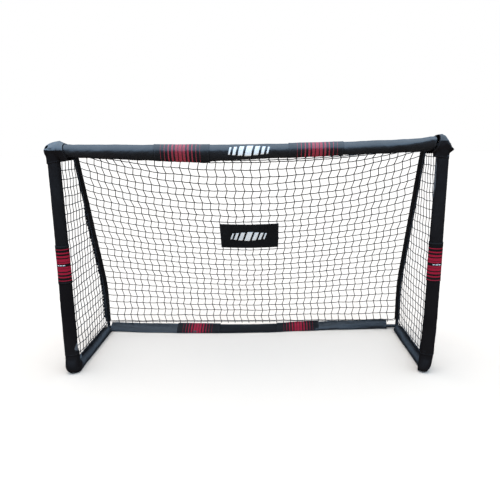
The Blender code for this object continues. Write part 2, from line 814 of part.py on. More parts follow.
# ---- whole object -------------------------------------------------------------------------
def build():
    for old in list(bpy.data.objects):
        bpy.data.objects.remove(old)
    build_buttons(build_frame())
    build_foam()
    build_crossbar_sleeves()
    build_post_sleeves()
    build_side_sleeves()
    build_rear_sleeves()
    build_strut_sleeves()
    build_corner_caps()
    build_back_net()
    build_side_nets()


build()
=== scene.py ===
"""Looks of the padded soccer goal: sleeves, striped bands, corner caps, string nets and badge."""

import math
import random

import bmesh
import bpy
from mathutils import Matrix, Vector, noise


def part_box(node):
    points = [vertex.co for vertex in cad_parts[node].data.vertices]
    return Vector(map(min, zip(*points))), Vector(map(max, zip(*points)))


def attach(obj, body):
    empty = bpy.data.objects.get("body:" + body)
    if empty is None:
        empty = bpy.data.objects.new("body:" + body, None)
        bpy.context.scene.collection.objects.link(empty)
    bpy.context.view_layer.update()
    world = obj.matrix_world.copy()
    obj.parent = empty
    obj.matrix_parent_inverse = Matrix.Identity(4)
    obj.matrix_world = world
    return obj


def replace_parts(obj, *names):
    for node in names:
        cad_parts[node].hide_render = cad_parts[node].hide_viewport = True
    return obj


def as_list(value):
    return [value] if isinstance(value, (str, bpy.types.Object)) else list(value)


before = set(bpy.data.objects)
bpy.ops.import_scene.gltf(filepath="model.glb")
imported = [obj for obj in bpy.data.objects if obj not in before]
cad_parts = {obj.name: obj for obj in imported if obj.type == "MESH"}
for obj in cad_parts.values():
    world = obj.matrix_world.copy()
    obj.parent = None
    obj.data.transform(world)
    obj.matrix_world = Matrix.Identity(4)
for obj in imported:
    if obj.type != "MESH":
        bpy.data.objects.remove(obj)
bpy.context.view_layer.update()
BODY = "goal_frame"


# ---- places taken from the frame ----------------------------------------------------------
def middle(node):
    low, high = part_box(node)
    return (low + high) / 2


SIDES = (("left", -1.0), ("right", 1.0))
X_AXIS, Y_AXIS, Z_AXIS = Vector((1, 0, 0)), Vector((0, 1, 0)), Vector((0, 0, 1))
POST_X, POST_Y, _ = middle("post_tube_upper_right")
CROSSBAR_Z = middle("crossbar_tube_centre").z
_, REAR_Y, REAR_Z = middle("rear_tube_right")
BUTTON_SHIFT = 0.0067          # from the middle of a button's box to its pin
STRUT_TOP_Y = POST_Y + 0.372   # where the level roof run turns down
STRUT_FOOT_Z = 0.375           # where the slanted run meets the upright leg
STRUT_BENDS = (0.100, 0.600)   # radius of the strut's bend at its top and at its foot

CLOTH = 0.0012                 # wall of a sleeve
HEM = 0.010                    # depth of a sewn hem
AROUND = 44                    # points round a bar's cloth
STEP = 0.007                   # between the rings of a sleeve
BACK_STRING_R = 0.0030         # string of the back net
SIDE_STRING_R = {"left": 0.0027, "right": 0.0023}
CORD_R = 0.0024                # cord along the edges of the nets
MESH = 0.0567                  # mesh of a side net, knot to knot


# ---- nodes --------------------------------------------------------------------------------
class Nodes:
    """Short calls for adding shader nodes to a tree."""

    def __init__(self, tree):
        self.tree = tree

    def node(self, kind, **settings):
        """A node, with its properties and its inputs (underscores for spaces)."""
        made = self.tree.nodes.new("ShaderNode" + kind)
        for key, value in settings.items():
            if hasattr(made, key):
                setattr(made, key, value)
            else:
                self.feed(value, made.inputs[key.replace("_", " ")])
        return made

    def feed(self, value, socket):
        """Link a socket to another, or set it to a number or colour."""
        if isinstance(value, bpy.types.NodeSocket):
            self.tree.links.new(value, socket)
        else:
            socket.default_value = value

    def maths(self, operation, *values):
        made = self.node("Math", operation=operation)
        for value, socket in zip(values, made.inputs):
            self.feed(value, socket)
        return made.outputs[0]

    def smooth(self, value, low, high, bottom=0.0, top=1.0):
        return self.node("MapRange", interpolation_type="SMOOTHSTEP", Value=value, From_Min=low,
                         From_Max=high, To_Min=bottom, To_Max=top).outputs["Result"]

    def mix(self, share, first, second):
        made = self.node("Mix", data_type="RGBA")
        for key, value in ((0, share), (6, first), (7, second)):
            self.feed((*value, 1) if isinstance(value, tuple) else value, made.inputs[key])
        return made.outputs[2]

    def place(self):
        return self.node("TexCoord").outputs["Object"]

    def noise(self, scale, detail=2.0, where=None):
        return self.node("TexNoise", Scale=scale, Detail=detail,
                         Vector=where or self.place()).outputs["Fac"]

    def uv(self, name):
        return self.node("UVMap", uv_map=name).outputs["UV"]

    def split(self, vector):
        return self.node("SeparateXYZ", Vector=vector).outputs

    def bump(self, height, strength, distance, under=None):
        made = self.node("Bump", Strength=strength, Distance=distance, Height=height)
        if under:
            self.feed(under, made.inputs["Normal"])
        return made.outputs["Normal"]

    def wave(self, where, scale, direction):
        return self.node("TexWave", wave_type="BANDS", bands_direction=direction, Scale=scale,
                         Vector=where).outputs["Fac"]


class Finish(Nodes):
    """A Principled material."""

    def __init__(self, name, roughness, metallic=0.0, specular=0.5):
        self.material = bpy.data.materials.new(name)
        self.material.use_nodes = True
        super().__init__(self.material.node_tree)
        self.set(Roughness=roughness, Metallic=metallic, Specular_IOR_Level=specular)

    def set(self, **values):
        shader = self.tree.nodes["Principled BSDF"]
        for key, value in values.items():
            self.feed(value, shader.inputs[key.replace("_", " ")])
        return self.material


# ---- camera, light and floor --------------------------------------------------------------
SKY = ((0.0, (0.026, 0.026, 0.028)), (0.08, (0.035, 0.037, 0.041)), (0.20, (0.19, 0.29, 0.42)),
       (0.34, (0.47, 0.70, 1.0)), (1.0, (0.62, 0.80, 1.0)))   # (height, colour)
SKY_FRONT, SKY_BEHIND = 2.9, 0.93


def add_object(name, data):
    made = bpy.data.objects.new(name, data)
    bpy.context.scene.collection.objects.link(made)
    return made


def make_camera():
    yaw, pitch, roll = (math.radians(a) for a in (-1.619, 13.601, -0.813))
    ahead = Vector((math.sin(yaw) * math.cos(pitch), math.cos(yaw) * math.cos(pitch),
                    -math.sin(pitch)))
    level = Vector((math.cos(yaw), -math.sin(yaw), 0))
    above = level.cross(ahead)
    right = level * math.cos(roll) + above * math.sin(roll)
    up = above * math.cos(roll) - level * math.sin(roll)
    data = bpy.data.cameras.new("camera")
    data.lens, data.sensor_width, data.shift_y, data.clip_end = 37.889, 36, 0.04, 200
    camera = add_object("camera", data)
    turn = Matrix((right, up, -ahead)).transposed().to_4x4()
    camera.matrix_world = Matrix.Translation((0.1084, -3.6945, 1.4920)) @ turn
    bpy.context.scene.camera = camera


def make_light():
    """Bright sky, dim near the horizon and behind the goal, and one broad soft lamp."""
    world = bpy.data.worlds.new("studio")
    bpy.context.scene.world = world
    world.use_nodes = True
    world.node_tree.nodes.clear()
    sky = Nodes(world.node_tree)
    _, depth, height = sky.split(sky.node("TexCoord").outputs["Generated"])
    ramp = sky.node("ValToRGB", Fac=height)
    stops = ramp.color_ramp.elements
    stops[0].color, stops[1].color = (*SKY[0][1], 1), (*SKY[-1][1], 1)
    for position, colour in SKY[1:-1]:
        stops.new(position).color = (*colour, 1)
    strength = sky.smooth(depth, 0.20, 0.85, SKY_FRONT, SKY_BEHIND)
    lit = sky.node("Background", Color=ramp.outputs["Color"], Strength=strength)
    seen = sky.node("Background", Color=(1, 1, 1, 1), Strength=1.0)
    mix = sky.node("MixShader", Fac=sky.node("LightPath").outputs["Is Camera Ray"])
    sky.feed(lit.outputs[0], mix.inputs[1])
    sky.feed(seen.outputs[0], mix.inputs[2])
    sky.node("OutputWorld", Surface=mix.outputs[0])

    lamp = bpy.data.lights.new("softbox", "SUN")
    lamp.angle, lamp.energy, lamp.color = math.radians(70), 1.4, (1.0, 0.90, 0.80)
    box = add_object("softbox", lamp)
    box.rotation_euler = (math.radians(-14), math.radians(-12), 0)
    box.visible_glossy = False
    bpy.context.scene.view_settings.view_transform = "Standard"


def make_floor():
    half = 60.0
    mesh = bpy.data.meshes.new("floor")
    mesh.from_pydata([(-half, -half, 0), (half, -half, 0), (half, half, 0), (-half, half, 0)],
                     [], [(0, 1, 2, 3)])
    finish = Finish("floor", 1.0, specular=0.0)
    mesh.materials.append(finish.set(Base_Color=(0.64, 0.505, 0.40, 1)))
    floor = add_object("floor", mesh)
    floor.location.z = -0.0006
    floor.visible_glossy = False


# ---- materials ----------------------------------------------------------------------------
CLOTH_BLACK = (0.0068, 0.0053, 0.0051)
CLOTH_WORN = (0.0100, 0.0081, 0.0079)
CRIMSON, CRIMSON_DARK = (0.325, 0.0080, 0.0260), (0.085, 0.004, 0.010)
PRINT_WHITE, PRINT_WORN = (0.72, 0.72, 0.70), (0.40, 0.40, 0.40)
STITCH = (0.035, 0.036, 0.040)
STITCH_IN, STITCH_PITCH = 0.0072, 0.0021   # row of stitches from the edge, and half its pitch
THREADS = 314 / 1.1            # wave scale of a weave with 1.1 mm between threads
LINE_EDGE = 0.0006             # softness of a stripe's edge


def weave_and_hem(finish, colour):
    """Basket weave, cloudy sheen and one row of hem stitches over a colour."""
    cloth = finish.uv("cloth")
    weave = finish.maths("MULTIPLY", finish.wave(cloth, THREADS, "X"),
                         finish.wave(cloth, THREADS, "Y"))
    across, along, _ = finish.split(finish.uv("hem"))
    row = finish.smooth(finish.maths("ABSOLUTE", finish.maths("SUBTRACT", along, STITCH_IN)),
                        0.0004, 0.0009, 1.0, 0.0)
    dash = finish.smooth(finish.maths("PINGPONG", across, STITCH_PITCH), 0.0006, 0.0009)
    stitch = finish.maths("MULTIPLY", row, dash)
    gloss = finish.maths("ADD", finish.smooth(finish.noise(7.0, 4.0), 0.30, 0.70, 0.27, 0.40),
                         finish.maths("MULTIPLY", finish.noise(60.0, 3.0, cloth), 0.08))
    rumple = finish.bump(finish.noise(34.0, 3.0), 0.30, 0.0022, finish.bump(weave, 0.22, 0.0004))
    return finish.set(Base_Color=finish.mix(stitch, colour, STITCH), Roughness=gloss,
                      Normal=finish.bump(stitch, 0.5, 0.0006, rumple))


def cloth_colour(finish):
    """Black with faint larger clouds, paler where the cloth is worn."""
    return finish.mix(finish.smooth(finish.noise(3.2, 5.0), 0.35, 0.75), CLOTH_BLACK, CLOTH_WORN)


def make_cloth(name, specular, index=1.5):
    finish = Finish(name, 0.36, specular=specular)
    finish.set(IOR=index)
    return weave_and_hem(finish, cloth_colour(finish))


def make_striped(name, specular, half, pitch, thin, thick, power, clear=None):
    """Black cloth with crimson lines across it, widest at the middle. The second UV value is
    the distance along the bar from the middle of the pattern. clear leaves a plain black gap."""
    finish = Finish(name, 0.46, specular=specular)
    _, along, _ = finish.split(finish.uv("cloth"))
    far = finish.maths("ABSOLUTE", along)
    start = finish.maths("SUBTRACT", far, clear) if clear else far
    turn = finish.maths("MODULO", finish.maths("ADD", start, pitch * 4.5), pitch)
    nearest = finish.maths("ABSOLUTE", finish.maths("SUBTRACT", turn, pitch / 2))
    share = finish.maths("SUBTRACT", 1.0, finish.maths("DIVIDE", start, half))
    share = finish.maths("POWER", finish.maths("MAXIMUM", share, 0.0), power)
    width = finish.maths("ADD", finish.maths("MULTIPLY", share, (thick - thin) / 2), thin / 2)
    line = finish.smooth(finish.maths("SUBTRACT", nearest, width), -LINE_EDGE, LINE_EDGE, 1.0, 0.0)
    line = finish.maths("MULTIPLY", line, finish.smooth(start, half, half + 0.0008, 1.0, 0.0))
    if clear:
        line = finish.maths("MULTIPLY", line, finish.smooth(far, clear - 0.0008, clear))
    flecks = finish.smooth(finish.noise(420.0, 2.0, finish.uv("cloth")), 0.30, 0.62, 0.35, 1.0)
    red = finish.mix(flecks, CRIMSON_DARK, CRIMSON)
    return weave_and_hem(finish, finish.mix(line, cloth_colour(finish), red))


def make_foam():
    finish = Finish("pipe_foam", 0.95, specular=0.2)
    cells = finish.node("TexVoronoi", Scale=900.0, Vector=finish.place()).outputs["Distance"]
    shade = finish.smooth(cells, 0.0, 0.7)
    return finish.set(Base_Color=finish.mix(shade, (0.045, 0.045, 0.048), (0.080, 0.080, 0.084)),
                      Normal=finish.bump(cells, 0.5, 0.0008))


def make_steel():
    """Black powder coat: fine orange peel and a few dull patches."""
    finish = Finish("powder_coat", 0.42)
    patches = finish.noise(14.0, 3.0)
    return finish.set(Base_Color=finish.mix(finish.smooth(patches, 0.4, 0.7),
                                            (0.009, 0.0095, 0.011), (0.014, 0.0145, 0.016)),
                      Roughness=finish.smooth(patches, 0.3, 0.7, 0.34, 0.50),
                      Normal=finish.bump(finish.noise(900.0), 0.15, 0.0003))


def make_button_steel():
    """Zinc-plated spring steel with fine turned scratches."""
    finish = Finish("zinc_steel", 0.30, metallic=1.0)
    place = finish.node("Mapping", Scale=(900, 60, 60), Vector=finish.place())
    scratches = finish.noise(1.0, 3.0, place.outputs["Vector"])
    return finish.set(Base_Color=finish.mix(scratches, (0.42, 0.43, 0.45), (0.66, 0.67, 0.68)),
                      Roughness=finish.smooth(scratches, 0.3, 0.7, 0.22, 0.40),
                      Normal=finish.bump(scratches, 0.2, 0.0001))


def make_string():
    """Black knotted polyethylene string with a twist along it."""
    finish = Finish("net_twine", 0.62, specular=0.35)
    across, along, _ = finish.split(finish.uv("cloth"))
    turn = finish.maths("ADD", finish.maths("MULTIPLY", along, 2100.0),
                        finish.maths("MULTIPLY", across, 6.283))
    strands = finish.smooth(finish.maths("SINE", turn), -1.0, 1.0)
    return finish.set(Base_Color=finish.mix(strands, (0.006, 0.006, 0.007), (0.020, 0.020, 0.022)),
                      Normal=finish.bump(strands, 0.6, 0.0004))


def make_print():
    """Off-white rubbery print, slightly worn."""
    finish = Finish("pale_print", 0.5)
    wear = finish.smooth(finish.noise(120.0, 4.0), 0.30, 0.42)
    return finish.set(Base_Color=finish.mix(wear, PRINT_WORN, PRINT_WHITE),
                      Normal=finish.bump(finish.noise(700.0), 0.2, 0.0002))


def make_badge_cloth():
    finish = Finish("badge_satin", 0.5, specular=0.4)
    return weave_and_hem(finish, finish.mix(finish.smooth(finish.noise(5.0, 4.0), 0.35, 0.75),
                                            (0.0055, 0.0055, 0.0060), (0.0080, 0.0080, 0.0085)))


# ---- mesh helpers -------------------------------------------------------------------------
def linear(table, at, shape=lambda share: share):
    """Value from (place, value) pairs in rising order of place, joined by straight lines."""
    if at <= table[0][0]:
        return table[0][1]
    for (low, first), (high, second) in zip(table, table[1:]):
        if at <= high:
            return first + (second - first) * shape((at - low) / (high - low))
    return table[-1][1]


def between(table, at):
    """The same, smoothly joined."""
    return linear(table, at, lambda share: share * share * (3 - 2 * share))


def ease(value, low, high):
    share = min(max((value - low) / (high - low), 0.0), 1.0)
    return share * share * (3 - 2 * share)


def angles(count=AROUND):
    return [2 * math.pi * j / count for j in range(count)]


def circle(centre, first, second, radius, count):
    return [centre + first * radius * math.cos(a) + second * radius * math.sin(a)
            for a in angles(count)]


def spaced(start, end, step):
    count = max(2, math.ceil(abs(end - start) / step))
    return [start + (end - start) * i / count for i in range(count + 1)]


def skin(mesh, first, second):
    """Faces between two closed loops of vertices."""
    for j in range(len(first)):
        k = (j + 1) % len(first)
        mesh.faces.new((first[j], first[k], second[k], second[j]))


def add_closed(name, mesh):
    """Object from a bmesh, its faces turned outwards."""
    bmesh.ops.recalc_face_normals(mesh, faces=mesh.faces[:])
    data = bpy.data.meshes.new(name)
    mesh.to_mesh(data)
    mesh.free()
    return add_object(name, data)


def apply_modifiers(piece):
    """Bake the modifiers of a piece into its mesh."""
    ready = piece.evaluated_get(bpy.context.evaluated_depsgraph_get())
    mesh = bpy.data.meshes.new_from_object(ready)
    piece.modifiers.clear()
    old, piece.data = piece.data, mesh
    bpy.data.meshes.remove(old)


def add_wall(piece, thickness, offset=-1.0):
    wall = piece.modifiers.new("wall", "SOLIDIFY")
    wall.thickness, wall.offset = thickness, offset


def add_piece(name, points, faces, uvs, material, slot):
    """Mesh piece on the goal's body. uvs: map name to one (u, v) for each face corner."""
    mesh = bpy.data.meshes.new(name)
    mesh.from_pydata(points, [], faces)
    for key, values in uvs.items():
        layer = mesh.uv_layers.new(name=key)
        layer.data.foreach_set("uv", [number for pair in values for number in pair])
    mesh.materials.append(material)
    mesh.shade_smooth()
    piece = add_object(name, mesh)
    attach(piece, BODY)
    return piece


def grid(rows, columns, maps=None, closed=False, order=(0, 1, 2, 3)):
    """Faces over rows of points, and their UV values. maps: map name to a function of row and
    column. closed joins the last column to the first, and order is that of a face's corners."""
    width = columns if closed else columns + 1
    faces, uvs = [], {key: [] for key in maps or {}}
    for i in range(rows):
        for j in range(columns):
            around = ((i, j), (i, j + 1), (i + 1, j + 1), (i + 1, j))
            corners = [around[k] for k in order]
            faces.append([a * width + b % width for a, b in corners])
            for key, values in uvs.items():
                values += [maps[key](a, b) for a, b in corners]
    return faces, uvs


def loft(name, rings, along, material, slot="sleeve_cloth", middle_at=0.0, low_hem=True):
    """Open cloth tube through rings of points, in order along a bar. along: distance at each
    ring; the cloth's own pattern is measured from middle_at, the hem stitches from the ends."""
    count = len(rings[0])
    widest = rings[len(rings) // 2]
    around = [0.0]
    for j in range(count):
        around.append(around[-1] + (widest[(j + 1) % count] - widest[j]).length)
    centre = sum(rings[0], Vector()) / count
    normal = (rings[0][1] - rings[0][0]).cross(rings[1][0] - rings[0][0])
    outward = normal.dot(rings[0][0] - centre) > 0

    def cloth_at(row, column):
        return around[column], along[row] - middle_at

    def hem_at(row, column):
        low = along[row] - along[0] if low_hem else 1.0
        return around[column], min(low, along[-1] - along[row])

    faces, uvs = grid(len(rings) - 1, count, {"cloth": cloth_at, "hem": hem_at}, True,
                      (0, 1, 2, 3) if outward else (3, 2, 1, 0))
    piece = add_piece(name, [p for ring in rings for p in ring], faces, uvs, material, slot)
    add_wall(piece, CLOTH)
    return piece


def crumple(s, angle, seed, size):
    """Outward offset of slack cloth round a bar: wide soft dents and a few thin folds."""
    turn = Vector((math.cos(angle), math.sin(angle), 0.0)) * 0.9
    dents = noise.noise(turn + Vector((seed, 0, s * 4.5)))
    lean = s * 16.0 + 1.4 * math.sin(angle + seed)
    fold = 1 - 2.2 * abs(noise.noise(Vector((turn.x * 0.8 + seed, turn.y * 0.8, lean))))
    ripple = noise.noise(turn * 2.2 + Vector((0, seed, s * 30.0)))
    return size * (0.85 * dents + 0.55 * max(fold, 0.0) ** 2 + 0.25 * ripple)


def hem_lift(place, ends):
    """A folded hem is twice as thick as the sleeve."""
    near = min(abs(place - end) for end in ends)
    return 0.0007 * (1 - ease(near, HEM, HEM + 0.0015))


def slack_ring(point_at, place, ends, lift, seed, size, tight, sag=0.0):
    """Ring of cloth at a place along a bar, tight at the hems and slacker underneath.
    point_at(place, angle, lift) gives a point."""
    near = min(abs(place - end) for end in ends)
    fit = tight + (1 - tight) * ease(near, 0.0, 0.03)
    ring = []
    for angle in angles():
        slack = size * fit * (1.0 + sag * max(-math.sin(angle), 0.0))
        out = crumple(place, angle, seed, slack) + hem_lift(place, ends)
        ring.append(point_at(place, angle, lift + out))
    return ring


def declare(piece, node, flat, rests_on):
    """A sheet that stands for a CAD node."""
    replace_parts(piece, node)
    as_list(rests_on)


# ---- foam ---------------------------------------------------------------------------------
FOAM_BORE, FOAM_R, FOAM_SIDES = 0.0130, 0.0362, 28
WINDOW_R, WINDOW_REACH = 0.012, (0.006, 0.060)


def foam_pipe(name, stations, across, up, windows, node, material):
    """Foam pipe round a tube, with a window over each button. stations: (tube's axis, how far
    the pipe's own middle lies from it)."""
    mesh = bmesh.new()
    outside, inside = [], []
    for number, (centre, shift) in enumerate(stations):
        loop = []
        for angle in angles(FOAM_SIDES):
            rough = noise.noise(Vector((number * 0.7, math.cos(angle), math.sin(angle))))
            size = FOAM_R + 0.0005 * rough
            loop.append(mesh.verts.new(centre + shift + across * size * math.cos(angle)
                                       + up * size * math.sin(angle)))
        outside.append(loop)
    for centre, _ in stations:
        inside.append([mesh.verts.new(p)
                       for p in circle(centre, across, up, FOAM_BORE, FOAM_SIDES)])
    for loops in (outside, inside):
        for first, second in zip(loops, loops[1:]):
            skin(mesh, first, second)
    for end in (0, -1):
        skin(mesh, outside[end], inside[end])
    pipe = add_closed(name, mesh)
    pipe.data.materials.append(material)
    for place, out in windows:
        side = Vector((out.y, out.z, out.x))
        cut = bmesh.new()
        loops = [[cut.verts.new(p) for p in
                  circle(place + out * reach, side, side.cross(out), WINDOW_R, 20)]
                 for reach in WINDOW_REACH]
        skin(cut, *loops)
        for loop in loops:
            cut.faces.new(loop)
        cutter = add_closed("window", cut)
        boolean = pipe.modifiers.new("window", "BOOLEAN")
        boolean.operation, boolean.solver, boolean.object = "DIFFERENCE", "EXACT", cutter
        apply_modifiers(pipe)
        bpy.data.objects.remove(cutter)
    pipe.data.shade_smooth()
    pipe.data.set_sharp_from_angle(angle=math.radians(40))
    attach(pipe, BODY)
    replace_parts(pipe, node)


# ---- crossbar -----------------------------------------------------------------------------
# Padding over the crossbar: height of its top above the tube's axis, and of its slack
# underside below it, at places along the bar. The padding sags and the cloth hangs lowest
# left of the middle.
BEAM_TOP = ((-1.14, 0.046), (-1.114, 0.041), (-1.088, 0.0375), (-1.055, 0.0345),
            (-0.85, 0.032), (-0.62, 0.028), (-0.40, 0.025), (-0.20, 0.023), (0.20, 0.023),
            (0.40, 0.026), (0.60, 0.029), (0.82, 0.035), (0.97, 0.040), (1.05, 0.0435),
            (1.09, 0.049), (1.115, 0.053), (1.14, 0.054))
BEAM_BOTTOM = ((-1.14, 0.041), (-1.00, 0.045), (-0.85, 0.054), (-0.62, 0.064),
               (-0.40, 0.074), (-0.27, 0.079), (-0.12, 0.072), (0.24, 0.059),
               (0.40, 0.054), (0.60, 0.048), (0.82, 0.044), (0.97, 0.037), (1.14, 0.035))
BEAM_R = 0.0390
BEAM_TWIST = 0.018             # rise of the widest line where the cloth twists into a cap


def beam_point(x, angle, lift=0.0):
    """Point of the crossbar's cloth: angle 0 is behind, 90 degrees on top, 180 in front."""
    twist = BEAM_TWIST * ease(x, 0.88, 1.13)
    centre = between(BEAM_TOP, x) - BEAM_R + twist
    up = math.sin(angle)
    height = BEAM_R - twist if up > 0 else between(BEAM_BOTTOM, x) + centre
    depth = BEAM_R + 0.0015 + lift
    return Vector((x, POST_Y + depth * math.cos(angle),
                   CROSSBAR_Z + centre + (height + lift) * up))


def make_beam(looks):
    for name, low, high, lift, pattern in (
            ("left", -1.140, -0.423, 0.0, 0.0), ("centre", -0.363, 0.363, 0.0, 0.0),
            ("right", 0.423, 1.140, 0.0, 0.0),
            ("left", -0.560, -0.220, 0.0030, -0.3965), ("right", 0.260, 0.590, 0.0030, 0.4315)):
        seed, size = (high * 5, 0.0014) if lift else (low * 3, 0.0016)
        places = spaced(low, high, STEP)
        rings = [slack_ring(beam_point, x, (low, high), lift, seed, size, 0.35, 0.6)
                 for x in places]
        if lift:
            piece = loft(f"beam_band_{name}", rings, places, looks["beam_stripes"],
                         "striped_cloth", pattern)
            declare(piece, f"crossbar_band_{name}", (0.295, high - low),
                    ["beam_cloth_centre", f"beam_cloth_{name}"])
        else:
            piece = loft(f"beam_cloth_{name}", rings, places, looks["cloth"])
            declare(piece, f"crossbar_sleeve_{name}", (0.272, high - low), ["beam_foam"])
    buttons = [middle(f"snap_button_crossbar_{name}").x + BUTTON_SHIFT for name, _ in SIDES]
    windows = [(Vector((x, POST_Y, CROSSBAR_Z)), -Z_AXIS) for x in buttons]
    end = POST_X - 0.055
    stations = [(Vector((x, POST_Y, CROSSBAR_Z)), Z_AXIS * (between(BEAM_TOP, x) - BEAM_R))
                for x in spaced(-end, end, 0.03)]
    foam_pipe("beam_foam", stations, Y_AXIS, Z_AXIS, windows, "crossbar_foam", looks["foam"])


# ---- posts --------------------------------------------------------------------------------
# Half width of each post's cloth and how far its middle stands outside the tube, at heights.
POST_FIT = {
    "left": ((0.12, 0.0450, 0.0070), (0.17, 0.0425, 0.0090), (0.25, 0.0450, 0.0065),
             (0.40, 0.0440, 0.0050), (0.75, 0.0400, 0.0015), (1.38, 0.0380, 0.0)),
    "right": ((0.12, 0.0430, -0.0080), (0.17, 0.0430, -0.0075), (0.30, 0.0430, -0.0030),
              (0.40, 0.0425, 0.0), (0.75, 0.0405, 0.0010), (1.38, 0.0380, 0.0030)),
}
POST_DEPTH = 0.0415            # half depth of a post's cloth
POST_LABEL_Z = {"left": 0.744, "right": 0.731}


def foot_web(z):
    """How far the cloth spreads backwards above the foot."""
    return 0.0430 * ease(0.205 - z, 0.0, 0.125)


def post_point(name, side, z, angle, lift=0.0):
    """Point of a post's cloth: angle 0 is the outer side, 90 degrees behind, 270 in front."""
    half = between([(a, b) for a, b, _ in POST_FIT[name]], z)
    shift = between([(a, c) for a, _, c in POST_FIT[name]], z)
    back = math.sin(angle)
    depth = POST_DEPTH + (foot_web(z) if back > 0 else 0.0)
    x = side * (POST_X + shift + (half + lift) * math.cos(angle))
    return Vector((x, POST_Y + (depth + lift) * back, z))


def make_posts(looks):
    for number, (name, side) in enumerate(SIDES):
        pad, label = f"post_pad_{name}", POST_LABEL_Z[name]
        upper, lower = f"post_cloth_upper_{name}", f"post_cloth_lower_{name}"

        def point_at(z, angle, lift):
            return post_point(name, side, z, angle, lift)

        for piece_name, node, top, low, lift, size, cloth, slot, pattern, flat, under in (
                (upper, "sleeve_upper", 1.402, 0.775, 0.0, 0.0011, "upright_cloth",
                 "sleeve_cloth", 0.0, (0.250, 0.627), [pad]),
                (lower, "sleeve_lower", 0.725, 0.120, 0.0, 0.0017, "dull_cloth",
                 "sleeve_cloth", 0.0, (0.275, 0.605), [pad]),
                (f"post_band_cloth_{name}", "band", 0.870, 0.620, 0.0028, 0.0012,
                 "post_stripes", "striped_cloth", label, (0.268, 0.250), [upper, lower])):
            seed = 11.0 + 7 * number + {"sleeve_upper": 0, "sleeve_lower": 2, "band": 4}[node]
            places = spaced(top, low, STEP)
            rings = [slack_ring(point_at, z, (top, low), lift, seed, size, 0.4) for z in places]
            piece = loft(piece_name, rings, [-z for z in places], looks[cloth], slot, -pattern)
            declare(piece, f"post_{node}_{name}", flat, under)
        x = side * POST_X
        tube_top = Vector((x, POST_Y, CROSSBAR_Z - 0.056))
        stations = [(tube_top.lerp(Vector((x, POST_Y, 0.130)), i / 12), Vector())
                    for i in range(13)]
        button = middle(f"snap_button_post_{name}").z + BUTTON_SHIFT
        foam_pipe(pad, stations, X_AXIS, Y_AXIS, [(Vector((x, POST_Y, button)), Y_AXIS)],
                  f"post_foam_{name}", looks["foam"])


# ---- side bars with the posts' feet -------------------------------------------------------
HEEL_PIVOT = (0.107, 0.080)    # behind the post's axis and above the ground
HEEL_REACH = (0.0245, 0.038)   # from the pivot to the cloth's inner line, on post and bar
TOE_CORNER = (-0.1495, -0.0800)                # from the pivot to the toe's outer corner
TOE_SQUARE = 2 / 6                             # exponent that squares the toe
OUTER_PART = (0.0425, 0.014)                   # height of the outer half, on post and bar
SIDE_TOP = ((0.10, 0.042), (0.30, 0.040), (0.70, 0.047))   # height of a side bar's cloth
TOE_ROUND = {"left": 0.12, "right": 0.50}      # how much narrower the toe's outer corner is
TOE_REACH = {"left": 0.028, "right": 0.020}    # how far the toe's cloth slides forward
TOE_LEAN = {"left": 0.005, "right": 0.021}     # how far it leans to the inner side
BAR_HALF = 0.0420                              # half width of a side bar's cloth
BAR_SHIFT = 0.0035                             # how far it lies to the inner side
FOOT_STEPS = 18


def foot_station(turn):
    """Inner point, outer point and half heights of the sock, turn 0 at the post to 1 on the
    bar. Places are behind the post's axis and above the ground."""
    beta = turn * math.pi / 2
    share = ease(turn, 0.0, 1.0)
    reach, outer_part = (a + (b - a) * share for a, b in (HEEL_REACH, OUTER_PART))
    pivot = Vector((0, *HEEL_PIVOT))
    inner = pivot + Vector((0, -math.cos(beta), -math.sin(beta))) * reach
    outer = pivot + Vector((0, TOE_CORNER[0] * max(math.cos(beta), 0.0) ** TOE_SQUARE,
                            TOE_CORNER[1] * math.sin(beta) ** TOE_SQUARE))
    height = (outer - inner).length
    outer_part = min(outer_part, height * 0.42)
    return inner, outer, height - outer_part, outer_part, share


def sock_ring(side, base, inner, outer, inner_half, outer_half, share, half, lift_at):
    """One section of the sock: rounded on the post, flat underneath on the bar."""
    along = (outer - inner).normalized()
    centre = inner + along * inner_half
    ring = []
    for angle in angles():
        lift = lift_at(angle)
        flat = 1 - 0.45 * ease(share, 0.5, 1.0) if math.sin(angle) > 0 else 1.0
        a = math.copysign(abs(math.cos(angle)) ** flat, math.cos(angle))
        b = math.sin(angle)
        b = (outer_half + (lift if share < 0.5 else 0.0)) * b ** flat if b > 0 else (
            (inner_half + lift) * b)
        ring.append(base + centre + X_AXIS * side * (half + lift) * a + along * b)
    return ring


def shape_toe(point, name, side):
    """Rounds the toe's outer corner and leans it forward and inwards."""
    front = ease(POST_Y + 0.05 - point.y, 0.0, 0.05)
    low = front * ease(0.050 - point.z, 0.0, 0.045)
    lean = front * ease(0.130 - point.z, 0.0, 0.130)
    out = (point.x - side * POST_X) * side
    if out > 0:
        point.x -= side * out * TOE_ROUND[name] * low
    point.x -= side * TOE_LEAN[name] * lean
    point.y -= TOE_REACH[name] * lean


